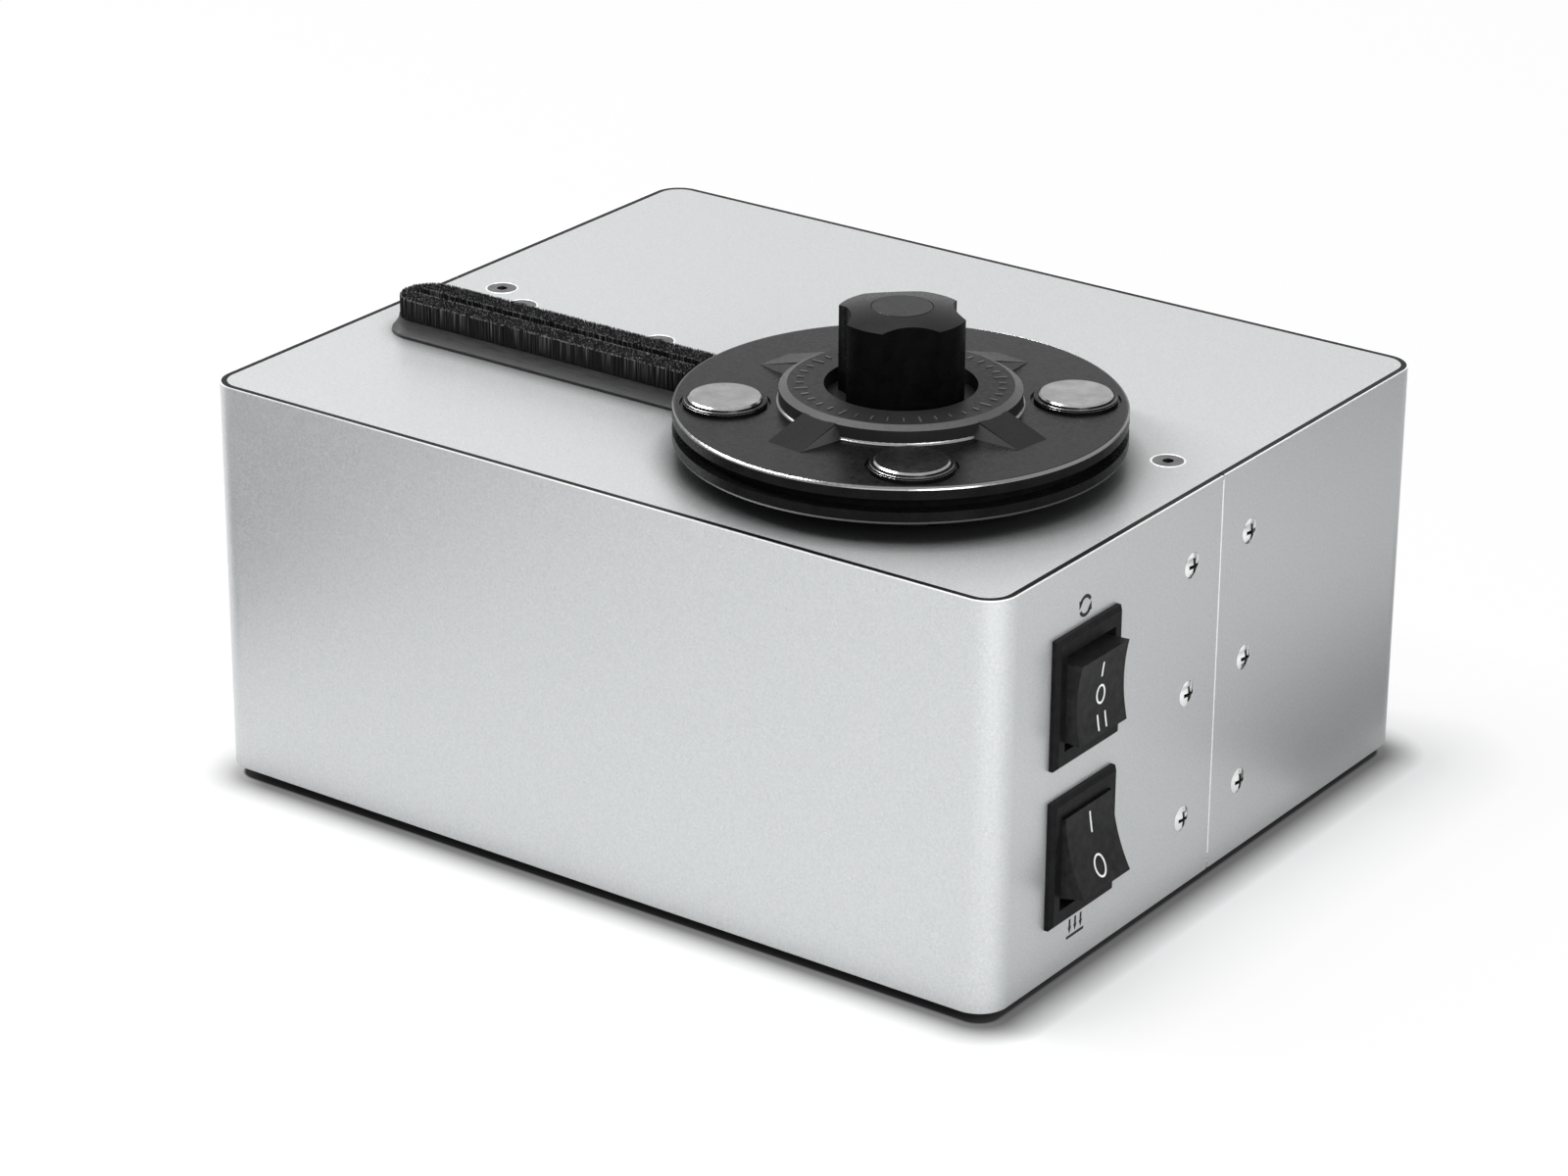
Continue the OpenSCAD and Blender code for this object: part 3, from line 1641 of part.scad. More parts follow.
module switch_body(z) {
  outer_w = window_w + 2 * body_wall;
  outer_h = window_h + 2 * body_wall;
  at_switch(z)
    difference() {
      union() {
        bezel_block();
        translate([-switch_depth, -outer_w / 2, -outer_h / 2])
          cube([switch_depth + eps, outer_w, outer_h]);
        for (s = [-1, 1])
          translate([-wall_t - 4.2, -4, s * (outer_h / 2 + 0.4) - 0.4])
            cube([4, 8, 0.8]);
        for (y = [-5, 5])
          for (k = [-1:1])
            translate([-switch_depth - 6, y - 0.4, k * 7 - 2])
              cube([6 + eps, 0.8, 4]);
      }
      translate([bezel_t - pivot_depth - 7.5, -window_w / 2, -window_h / 2])
        cube([pivot_depth + 9, window_w, window_h]);
      translate([bezel_t - pivot_depth, 0, 0])
        rotate([90, 0, 0])
          cylinder(d = pivot_d + 2 * fit_gap, h = outer_w + 2, center = true);
    }
}

module motor_switch() {
  color([0.1, 0.1, 0.1])
    switch_body(upper_z);
}

module vacuum_switch() {
  color([0.1, 0.1, 0.1])
    switch_body(lower_z);
}

// Rocker about its pivot at the origin, face towards +X
module rocker() {
  half = rocker_h / 2;
  hollow_r = (half * half + rocker_hollow * rocker_hollow) / (2 * rocker_hollow);
  rotate([90, 0, 0]) {
    linear_extrude(rocker_w, center = true)
      difference() {
        polygon([
          [-4, -6.5], [-1, -half + 0.6], [rocker_rise, -half], [rocker_rise, half],
          [-1, half - 0.6], [-4, 6.5]
        ]);
        translate([rocker_rise - rocker_hollow + hollow_r, 0])
          circle(hollow_r, $fn = 96);
      }
    cylinder(d = pivot_d, h = window_w + 2 * body_wall - 0.2, center = true);
  }
}

module motor_rocker() {
  color([0.12, 0.12, 0.12])
    at_switch(upper_z)
      translate([bezel_t - pivot_depth, 0, 0])
        rocker();
}

module vacuum_rocker() {
  color([0.12, 0.12, 0.12])
    at_switch(lower_z)
      translate([bezel_t - pivot_depth, 0, 0])
        rotate([0, -rocker_tilt, 0])
          rocker();
}

module at_inlet() {
  translate([inlet_x, body_d / 2, inlet_cz])
    children();
}

module power_inlet() {
  socket_z = -inlet_body_h / 2 + 1 + socket_h / 2;
  fuse_z = inlet_body_h / 2 - 1.2 - fuse_h / 2;
  color([0.1, 0.1, 0.1])
    difference() {
      at_inlet()
        difference() {
          union() {
            translate([0, inlet_t, 0])
              rotate([90, 0, 0])
                linear_extrude(inlet_t)
                  rounded(inlet_w, inlet_h, 3);
            translate([-inlet_body_w / 2, -inlet_depth, -inlet_body_h / 2])
              cube([inlet_body_w, inlet_depth + eps, inlet_body_h]);
            for (k = [-1:1])
              translate([k * 9 - 0.4, -inlet_depth - 7, -3])
                cube([0.8, 7 + eps, 5]);
          }
          difference() {
            translate([-socket_w / 2, inlet_t - socket_depth, socket_z - socket_h / 2])
              cube([socket_w, socket_depth + 1, socket_h]);
            for (k = [-1:1])
              translate([k * 7 - 1, -socket_depth, socket_z - 2 + (k == 0 ? 1.5 : -1.5)])
                cube([2, inlet_t + socket_depth - 6, 4]);
          }
          translate([-fuse_w / 2, inlet_t - 19, fuse_z - fuse_h / 2])
            cube([fuse_w, 20, fuse_h]);
        }
      inlet_screw_places()
        countersunk_hole(small_screw_d, small_head_d, inlet_t + 1);
    }
}

module fuse_drawer() {
  fuse_z = inlet_body_h / 2 - 1.2 - fuse_h / 2;
  gap = 0.3;
  color([0.16, 0.16, 0.16])
    at_inlet()
      translate([-fuse_w / 2 + gap, inlet_t - 18.5, fuse_z - fuse_h / 2 + gap])
        difference() {
          union() {
            cube([fuse_w - 2 * gap, 18.5, fuse_h - 2 * gap]);
            translate([6, 18, 1.6])
              cube([fuse_w - 2 * gap - 12, 1.1, fuse_h - 2 * gap - 3.2]);
          }
          translate([1.5, 1.5, 1])
            cube([fuse_w - 2 * gap - 3, 14, fuse_h]);
        }
}

module board_spots() {
  for (x = [4, board_w - 4])
    for (y = [4, board_d - 4])
      translate([board_x0 + x, board_y0 + y, 0])
        children();
}

module control_board() {
  color([0.1, 0.35, 0.2])
    difference() {
      translate([board_x0, board_y0, board_z])
        cube([board_w, board_d, board_t]);
      board_spots()
        translate([0, 0, board_z - 1])
          cylinder(d = 3.4, h = board_t + 2);
    }
}

module board_parts() {
  top = board_z + board_t;
  color([0.3, 0.3, 0.32])
    translate([board_x0, board_y0, top]) {
      translate([6, 9, 0])
        cube([30, 28, 25]);
      translate([3, 13, 4])
        cube([36, 20, 17]);
      for (x = [43, board_w - 23])
        translate([x, 9, 0])
          cube([15, 19, 15]);
      for (y = [board_d - 20, board_d - 8])
        translate([45, y, 0])
          cylinder(d = 8, h = 7);
      translate([9, board_d - 10, 0])
        cube([30, 8, 10]);
      for (x = [20, board_w - 21])
        translate([x, 1, 0])
          cube([14, 4.5, 8]);
    }
  color([0.85, 0.85, 0.83])
    board_spots() {
      translate([0, 0, z_floor])
        cylinder(d = 7, h = board_post_h);
      translate([0, 0, z_floor])
        cylinder(d = 3.2, h = board_post_h + board_t + 1);
    }
}

function unit(v) = v / norm(v);

// A smooth path through the given points
function smooth(p, n) = [
  for (i = [0:len(p) - 2])
    for (k = [0:n - 1])
      let (
        a = p[max(i - 1, 0)],
        b = p[i],
        c = p[i + 1],
        d = p[min(i + 2, len(p) - 1)],
        t = k / n
      )
      0.5 * (2 * b + (c - a) * t + (2 * a - 5 * b + 4 * c - d) * t * t
        + (3 * b - a - 3 * c + d) * t * t * t),
  p[len(p) - 1]
];

// A round lead along a path
module lead(points, d) {
  sides = 8;
  path = smooth(points, 5);
  last = len(path) - 1;
  dirs = [for (i = [0:last]) unit(path[min(i + 1, last)] - path[max(i - 1, 0)])];
  first = unit(cross(dirs[0], abs(dirs[0].z) > 0.8 ? [1, 0, 0] : [0, 0, 1]));
  across = [
    for (i = 0, v = first; i <= last; i = i + 1,
        v = i > last ? v : unit(v - (v * dirs[i]) * dirs[i]))
      v
  ];
  rings = [
    for (i = [0:last])
      for (k = [0:sides - 1])
        let (a = 360 * k / sides)
        path[i] + d / 2 * (cos(a) * across[i] + sin(a) * cross(dirs[i], across[i]))
  ];
  skin = [
    for (i = [0:last - 1])
      for (k = [0:sides - 1])
        let (a = i * sides + k, b = i * sides + (k + 1) % sides)
        [a, a + sides, b + sides, b]
  ];
  caps = [
    [for (k = [0:sides - 1]) k],
    [for (k = [sides - 1:-1:0]) last * sides + k]
  ];
  polyhedron(rings, concat(skin, caps));
}

module wiring() {
  top = board_z + board_t;
  tab_y = body_d / 2 - inlet_depth - 7.5;
  block = [board_x0 + 24, board_y0 + board_d - 6, top + 10.9];
  back_x = body_w / 2 - switch_depth - 6.6;
  can_y = spindle_y + can_d / 2 + 4.2;
  vac_side = vac_x + vac_motor_d / 2;
  head = [board_x0 + board_w - 14, board_y0 + 0.2, top + 4];
  for (k = [-1:1])
    color([0.5, 0.25, 0.12])
      lead([
        [inlet_x + k * 9, tab_y, inlet_cz - 0.5],
        [inlet_x + k * 5 - 6, tab_y - 6, inlet_cz + 1],
        [inlet_x - 20 + k * 3, tab_y + 1, inlet_cz + 11 + k * 2],
        [block.x + 4 + k * 5, block.y - 6, block.z + 14 + k * 2],
        [block.x + k * 5, block.y, block.z]
      ], 2.4);
  color([0.15, 0.15, 0.5])
    for (k = [0, 1])
      lead([
        [block.x - 9 - 3.4 * k, block.y, block.z],
        [block.x - 16 - 3 * k, block.y - 3, block.z + 13 + 3 * k],
        [(block.x + vac_side) / 2, block.y - 12, vac_z - 8 + 5 * k],
        [vac_side + 7, fan_y1 + vac_motor_l - 6, vac_z - 2.5 + 5 * k],
        [vac_side - 1, fan_y1 + vac_motor_l - 5, vac_z - 2.5 + 5 * k]
      ], 2.4);
  color([0.1, 0.1, 0.1])
    for (k = [-1, 1]) {
      lead([
        [head.x + 2 * k, head.y, head.z],
        [head.x + 5 + 2 * k, head.y - 12, head.z + 2],
        [head.x + 6 + 2 * k, -8, lower_z - 9],
        [head.x + 3 + 2 * k, switch_y + 26, lower_z],
        [back_x - 4, switch_y + 5 * k + 1.5, lower_z + 7],
        [back_x, switch_y + 5 * k, lower_z + 7]
      ], 2);
      lead([
        [head.x + 2 * k, head.y, head.z + 2.6],
        [head.x + 7 + 2 * k, head.y - 10, head.z + 6],
        [head.x + 8 + 2 * k, 2, (lower_z + upper_z) / 2],
        [head.x + 5 + 2 * k, switch_y + 26, upper_z],
        [back_x - 4, switch_y + 5 * k + 1.5, upper_z + 7],
        [back_x, switch_y + 5 * k, upper_z + 7]
      ], 2);
      lead([
        [spindle_x + 6 * k, can_y, can_z + can_h / 2 + 0.5],
        [spindle_x + 5 * k, can_y + 8, can_z + can_h / 2 + 1],
        [board_x0 + 27 + 3 * k, board_y0 - 10, top + 5],
        [board_x0 + 27 + 2 * k, board_y0 + 0.2, top + 4]
      ], 2);
    }
}

front_shell();
rear_shell();
top_plate();
base_plate();
left_bracket();
right_bracket();
panel_angles();
side_screws();
socket_screws();
small_screws();
feet();
nozzle_body();
brush();
nozzle_duct();
tank();
tank_gasket();
tank_lid();
lid_grommet();
drain_tube();
drain_cap();
fan_gasket();
fan_case();
fan_wheel();
motor_frame();
vacuum_stator();
vacuum_armature();
vacuum_bearings();
fan_hanger();
fan_saddle();
exhaust_filter();
bearing_housing();
spindle_bushes();
spindle();
platter();
platter_magnets();
platter_seal();
platter_screws();
shaft_coupling();
gearbox_shaft();
motor_plate();
motor_posts();
gearbox();
motor_can();
clamp_disc();
clamp_magnets();
clamp_seal();
clamp_bush();
clamp_knob();
knob_screw();
knob_cap();
motor_switch();
motor_rocker();
vacuum_switch();
vacuum_rocker();
power_inlet();
fuse_drawer();
control_board();
board_parts();
wiring();
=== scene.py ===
"""Record cleaning machine: looks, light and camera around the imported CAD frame."""
import json
import math
import random

import bmesh
import bpy
from mathutils import Matrix, Vector


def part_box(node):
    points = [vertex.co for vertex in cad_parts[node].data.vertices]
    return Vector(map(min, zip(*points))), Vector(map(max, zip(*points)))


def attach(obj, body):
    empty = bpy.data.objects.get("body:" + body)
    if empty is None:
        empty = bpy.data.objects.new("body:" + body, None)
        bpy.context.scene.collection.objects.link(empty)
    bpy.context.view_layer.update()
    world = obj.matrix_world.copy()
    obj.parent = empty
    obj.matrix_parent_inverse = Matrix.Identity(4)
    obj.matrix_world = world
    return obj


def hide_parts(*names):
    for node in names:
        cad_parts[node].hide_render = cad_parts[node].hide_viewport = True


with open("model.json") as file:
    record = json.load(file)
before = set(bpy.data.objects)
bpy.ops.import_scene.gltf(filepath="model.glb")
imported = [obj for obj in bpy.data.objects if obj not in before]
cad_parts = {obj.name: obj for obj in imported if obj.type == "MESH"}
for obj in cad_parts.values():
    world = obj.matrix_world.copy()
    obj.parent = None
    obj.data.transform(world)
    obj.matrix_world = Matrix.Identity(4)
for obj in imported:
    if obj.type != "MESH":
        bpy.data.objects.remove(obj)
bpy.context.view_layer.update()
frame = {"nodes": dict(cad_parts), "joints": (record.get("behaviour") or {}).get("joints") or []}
nodes = frame["nodes"]

MM = 0.001

# Places read from the frame, in metres
shells = [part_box(n) for n in ("front_shell", "rear_shell")]
case_lo = Vector([min(box[0][i] for box in shells) for i in range(3)])
case_hi = Vector([max(box[1][i] for box in shells) for i in range(3)])
TOP = case_hi.z
spindle = (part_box("knob_cap")[0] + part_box("knob_cap")[1]) / 2
joints = {j["name"]: j for j in frame["joints"]}

# Radius of the casing's upright corners, and of the hub ring's foot on the clamp disc
CORNER = 7.5 * MM
RING_FOOT = 27.95 * MM


# Node trees

class Tree:
    """A material's node tree with short calls to add and link nodes."""

    def __init__(self, name):
        self.mat = bpy.data.materials.new(name)
        self.mat.use_nodes = True
        self.nodes = self.mat.node_tree.nodes
        self.links = self.mat.node_tree.links
        self.shader = self.nodes["Principled BSDF"]

    def add(self, kind, **settings):
        node = self.nodes.new("ShaderNode" + kind)
        for key, value in settings.items():
            setattr(node, key, value)
        return node

    def link(self, a, b):
        self.links.new(a, b)

    def set(self, **values):
        for key, value in values.items():
            self.shader.inputs[key.replace("_", " ")].default_value = value

    def coords(self):
        return self.add("TexCoord").outputs["Object"]

    def stretched(self, *scale):
        """Object coordinates with each axis scaled."""
        node = self.add("VectorMath", operation="MULTIPLY")
        node.inputs[1].default_value = scale
        self.link(self.coords(), node.inputs[0])
        return node.outputs[0]

    def axes(self, vector):
        node = self.add("SeparateXYZ")
        self.link(vector, node.inputs[0])
        return node.outputs

    def levelness(self):
        """0 on upright faces, rising to 1 on level ones."""
        return self.math("ABSOLUTE", self.axes(self.add("TexCoord").outputs["Normal"])[2])

    def noise(self, scale, detail, rough, vector=None):
        node = self.add("TexNoise")
        node.inputs["Scale"].default_value = scale
        node.inputs["Detail"].default_value = detail
        node.inputs["Roughness"].default_value = rough
        self.link(vector or self.coords(), node.inputs["Vector"])
        return node.outputs["Fac"]

    def openness(self, distance):
        """The share of open space round a point, out to a distance."""
        node = self.add("AmbientOcclusion", samples=8)
        node.inputs["Distance"].default_value = distance
        return node.outputs["AO"]

    def ramp(self, value, stops):
        node = self.add("ValToRGB")
        elements = node.color_ramp.elements
        while len(elements) < len(stops):
            elements.new(0.5)
        for element, (place, colour) in zip(elements, stops):
            element.position = place
            element.color = (*colour, 1.0)
        self.link(value, node.inputs["Fac"])
        return node.outputs["Color"]

    def math(self, kind, a, b=None):
        node = self.add("Math", operation=kind)
        for socket, value in zip(node.inputs, (a, b)):
            if value is None:
                continue
            if isinstance(value, (int, float)):
                socket.default_value = value
            else:
                self.link(value, socket)
        return node.outputs[0]

    def span(self, value, low, high, to_low, to_high):
        node = self.add("MapRange")
        for socket, number in zip(list(node.inputs)[1:5], (low, high, to_low, to_high)):
            socket.default_value = number
        self.link(value, node.inputs[0])
        return node.outputs[0]

    def mix(self, factor, a, b):
        node = self.add("Mix", data_type="RGBA")
        self.link(factor, node.inputs[0])
        for socket, value in ((node.inputs[6], a), (node.inputs[7], b)):
            if isinstance(value, tuple):
                socket.default_value = (*value, 1.0)
            else:
                self.link(value, socket)
        return node.outputs[2]

    def bump(self, height, strength, distance):
        node = self.add("Bump")
        node.inputs["Strength"].default_value = strength
        node.inputs["Distance"].default_value = distance
        self.link(height, node.inputs["Height"])
        self.link(node.outputs[0], self.shader.inputs["Normal"])


def grey(tone):
    return (tone, tone, tone)


# Levelness over which a turned moulding's rounded edge begins, and over which it ends
EDGE_BEGIN = (0.12, 0.3)
EDGE_END = (0.82, 0.93)
# Levelness over which an upright face becomes a level one
LEVEL = (0.3, 0.9)
# Width over which the look of the hub ring gives way to that of the disc
HUB_FADE = 0.3 * MM


def round_edges(t):
    """1 where a turned moulding bends between level and upright, 0 on its faces."""
    up = t.levelness()
    return t.math("MINIMUM", t.span(up, *EDGE_BEGIN, 0.0, 1.0), t.span(up, *EDGE_END, 1.0, 0.0))


def level_share(t):
    """1 on level faces and 0 on upright ones."""
    return t.span(t.levelness(), *LEVEL, 0.0, 1.0)


def hub_share(t):
    """1 on the hub ring of a disc and 0 beyond it."""
    axes = t.axes(t.coords())
    x = t.math("SUBTRACT", axes[0], spindle.x)
    y = t.math("SUBTRACT", axes[1], spindle.y)
    away = t.math("SQRT", t.math("ADD", t.math("MULTIPLY", x, x), t.math("MULTIPLY", y, y)))
    return t.span(away, RING_FOOT, RING_FOOT + HUB_FADE, 1.0, 0.0)


def outline_distance(t, shift_x=0.0):
    """Distance in plan from the casing's rounded outline, less than 0 inside it.

    shift_x moves that outline to the right.
    """
    axes = t.axes(t.coords())
    half = (case_hi - case_lo) / 2
    x = t.math("SUBTRACT", axes[0], shift_x)
    past = [t.math("SUBTRACT", t.math("ABSOLUTE", value), reach - CORNER)
            for value, reach in ((x, half.x), (axes[1], half.y))]
    out = [t.math("MAXIMUM", q, 0.0) for q in past]
    squares = [t.math("MULTIPLY", q, q) for q in out]
    corner = t.math("SQRT", t.math("ADD", *squares))
    inside = t.math("MINIMUM", t.math("MAXIMUM", *past), 0.0)
    return t.math("SUBTRACT", t.math("ADD", corner, inside), CORNER)


# Materials

# Shine of polished edges, and how much smoother than their faces they are
EDGE_SHINE = 1.0
EDGE_POLISH = 0.1
# Tone of a satin zone, and how much rougher than the rest it is
SATIN_TONE = grey(0.02)
SATIN_ROUGH = 0.16
# Tone of the painted shade in a recess or under a close part, and the openness over which a face
# leaves it
PAINTED_SHADE_TONE = grey(0.01)
PAINTED_SHADE_OPEN = (0.3, 0.75)
# The share of its own colour that a face keeps under the deepest painted shade
PAINTED_SHADE_KEEP = 0.03
# Middle part of a noise's range, which holds nearly all its values
NOISE_MID = (0.3, 0.7)


def paint(name, light, dark, rough, metallic=0.0, grain=900.0, bump=0.15, depth=0.05 * MM,
          rough_spread=0.08, shine=0.5, side_shine=None, edges=None, satin=None, hollow=0.0,
          ior=1.5):
    """A plain procedural material: two near tones, uneven roughness and a fine grain.

    side_shine is the shine of upright faces, edges gives the share of polished edges, satin the
    share of a rougher, paler zone, and hollow the width of the recesses that get painted shade.
    """
    t = Tree(name)
    colour = t.ramp(t.noise(grain * 0.25, 4.0, 0.6), [(0.35, dark), (0.65, light)])
    fine = t.noise(grain, 3.0, 0.6)
    unevenness = t.span(fine, *NOISE_MID, rough - rough_spread, rough + rough_spread)
    t.bump(fine, bump, depth)
    t.set(Metallic=metallic, Specular_IOR_Level=shine, IOR=ior)
    # Painted shade: the colour goes near black in recesses narrower than hollow
    if hollow:
        unshaded = t.span(t.openness(hollow), *PAINTED_SHADE_OPEN, PAINTED_SHADE_KEEP, 1.0)
        colour = t.mix(unshaded, PAINTED_SHADE_TONE, colour)
    if satin:
        share = satin(t)
        colour = t.mix(share, colour, SATIN_TONE)
        unevenness = t.math("ADD", unevenness, t.math("MULTIPLY", share, SATIN_ROUGH))
    if edges:
        share = edges(t)
        gloss = shine
        if side_shine is not None:
            gloss = t.span(level_share(t), 0.0, 1.0, side_shine, shine)
        rest = t.math("MULTIPLY", t.math("SUBTRACT", 1.0, share), gloss)
        gloss = t.math("ADD", rest, t.math("MULTIPLY", share, EDGE_SHINE))
        t.link(gloss, t.shader.inputs["Specular IOR Level"])
        unevenness = t.math("SUBTRACT", unevenness, t.math("MULTIPLY", share, EDGE_POLISH))
    t.link(colour, t.shader.inputs["Base Color"])
    t.link(unevenness, t.shader.inputs["Roughness"])
    return t.mat


def black_plastic(name, tone, rough, grain=1400.0, bump=0.25, shine=0.25, **more):
    light = (tone * 1.3, tone * 1.3, tone * 1.33)
    return paint(name, light, grey(tone * 0.75), rough, grain=grain, bump=bump, shine=shine,
                 **more)


# Tones of the casing's silver, and the range of its roughness
PANEL_DARK = (0.475, 0.487, 0.49)
PANEL_LIGHT = (0.635, 0.647, 0.65)
PANEL_MID = (0.56, 0.572, 0.575)
PANEL_ROUGH = (0.36, 0.5)
TOP_METAL = 0.4
WRAP_METAL = 0.72
# How near a thing over the top plate must stand to cast painted shade on it, and the openness over
# which that shade ends
TOP_SHADE_NEAR = 12 * MM
TOP_SHADE_OPEN = (0.45, 0.88)
# The wraps' upward edge: its bare and its black part, the width of the bare part, and its depth
BARE_TONE = grey(0.96)
LINE_TONE = grey(0.003)
RIM_LINE = 0.3 * MM
RIM_DEPTH = 0.25 * MM


def panel_tree(name, metal):
    """Satin silver with a fine speckle, as on the casing."""
    t = Tree(name)
    soft = t.noise(420.0, 3.0, 0.65)
    speck = t.noise(1700.0, 3.0, 0.7)
    tone = t.mix(t.span(speck, *NOISE_MID, 0.0, 1.0), PANEL_DARK, PANEL_LIGHT)
    cloud = t.mix(t.span(soft, *NOISE_MID, 0.0, 0.5), tone, PANEL_MID)
    t.link(t.span(speck, *NOISE_MID, *PANEL_ROUGH), t.shader.inputs["Roughness"])
    t.bump(speck, 0.12, 0.04 * MM)
    t.set(Metallic=metal)
    return t, cloud


def panel_material():
    """The top plate, with painted shade where something stands close over it."""
    t, cloud = panel_tree("panel_silver", TOP_METAL)
    # Painted shade under the discs and the other parts that stand close over the plate
    unshaded = t.span(t.openness(TOP_SHADE_NEAR), *TOP_SHADE_OPEN, PAINTED_SHADE_KEEP, 1.0)
    t.link(t.mix(unshaded, PAINTED_SHADE_TONE, cloud), t.shader.inputs["Base Color"])
    return t.mat


def wrap_material():
    """The wrap panels: silver, with a black line let into their upward edge."""
    t, cloud = panel_tree("wrap_silver", WRAP_METAL)
    past_rim = t.math("LESS_THAN", outline_distance(t), -RIM_LINE)
    at_top = t.math("GREATER_THAN", t.axes(t.coords())[2], TOP - RIM_DEPTH)
    black = t.math("MULTIPLY", past_rim, at_top)
    bare = t.math("SUBTRACT", at_top, black)
    tone = t.mix(bare, cloud, BARE_TONE)
    t.link(t.mix(black, tone, LINE_TONE), t.shader.inputs["Base Color"])
    metal = t.math("MAXIMUM", bare, WRAP_METAL)
    t.link(t.math("MULTIPLY", t.math("SUBTRACT", 1.0, black), metal), t.shader.inputs["Metallic"])
    t.link(t.span(black, 0.0, 1.0, 0.5, 0.1), t.shader.inputs["Specular IOR Level"])
    return t.mat


# Heights over the top plate between which the painted shade at the fibres' roots gives way
ROOT_SHADE = (4.5 * MM, 9.0 * MM)


def bristle_material():
    """Black fibres of uneven tone, with painted shade towards their roots: the grain is drawn out
    along each fibre.
    """
    t = Tree("bristle")
    along = t.noise(1900.0, 2.0, 0.7, t.stretched(1.0, 1.0, 0.02))
    tone = t.ramp(along, [(0.42, grey(0.002)), (0.55, grey(0.010)), (0.70, grey(0.17))])
    # Painted shade: the fibres go near black towards their roots
    low, high = ROOT_SHADE
    root_shade = t.span(t.axes(t.coords())[2], TOP + low, TOP + high, 0.0, 1.0)
    t.link(t.mix(root_shade, grey(0.001), tone), t.shader.inputs["Base Color"])
    t.set(Roughness=0.5, Specular_IOR_Level=0.2)
    return t.mat


def strip_material():
    """The nozzle's matt black skirt, brushed along its length."""
    t = Tree("strip_black")
    drawn = t.noise(1500.0, 3.0, 0.65, t.stretched(0.12, 1.0, 1.0))
    t.link(t.ramp(drawn, [(0.3, grey(0.005)), (0.7, (0.022, 0.022, 0.023))]),
           t.shader.inputs["Base Color"])
    t.link(t.span(drawn, *NOISE_MID, 0.4, 0.6), t.shader.inputs["Roughness"])
    t.bump(drawn, 0.25, 0.05 * MM)
    t.set(Specular_IOR_Level=0.3)
    return t.mat


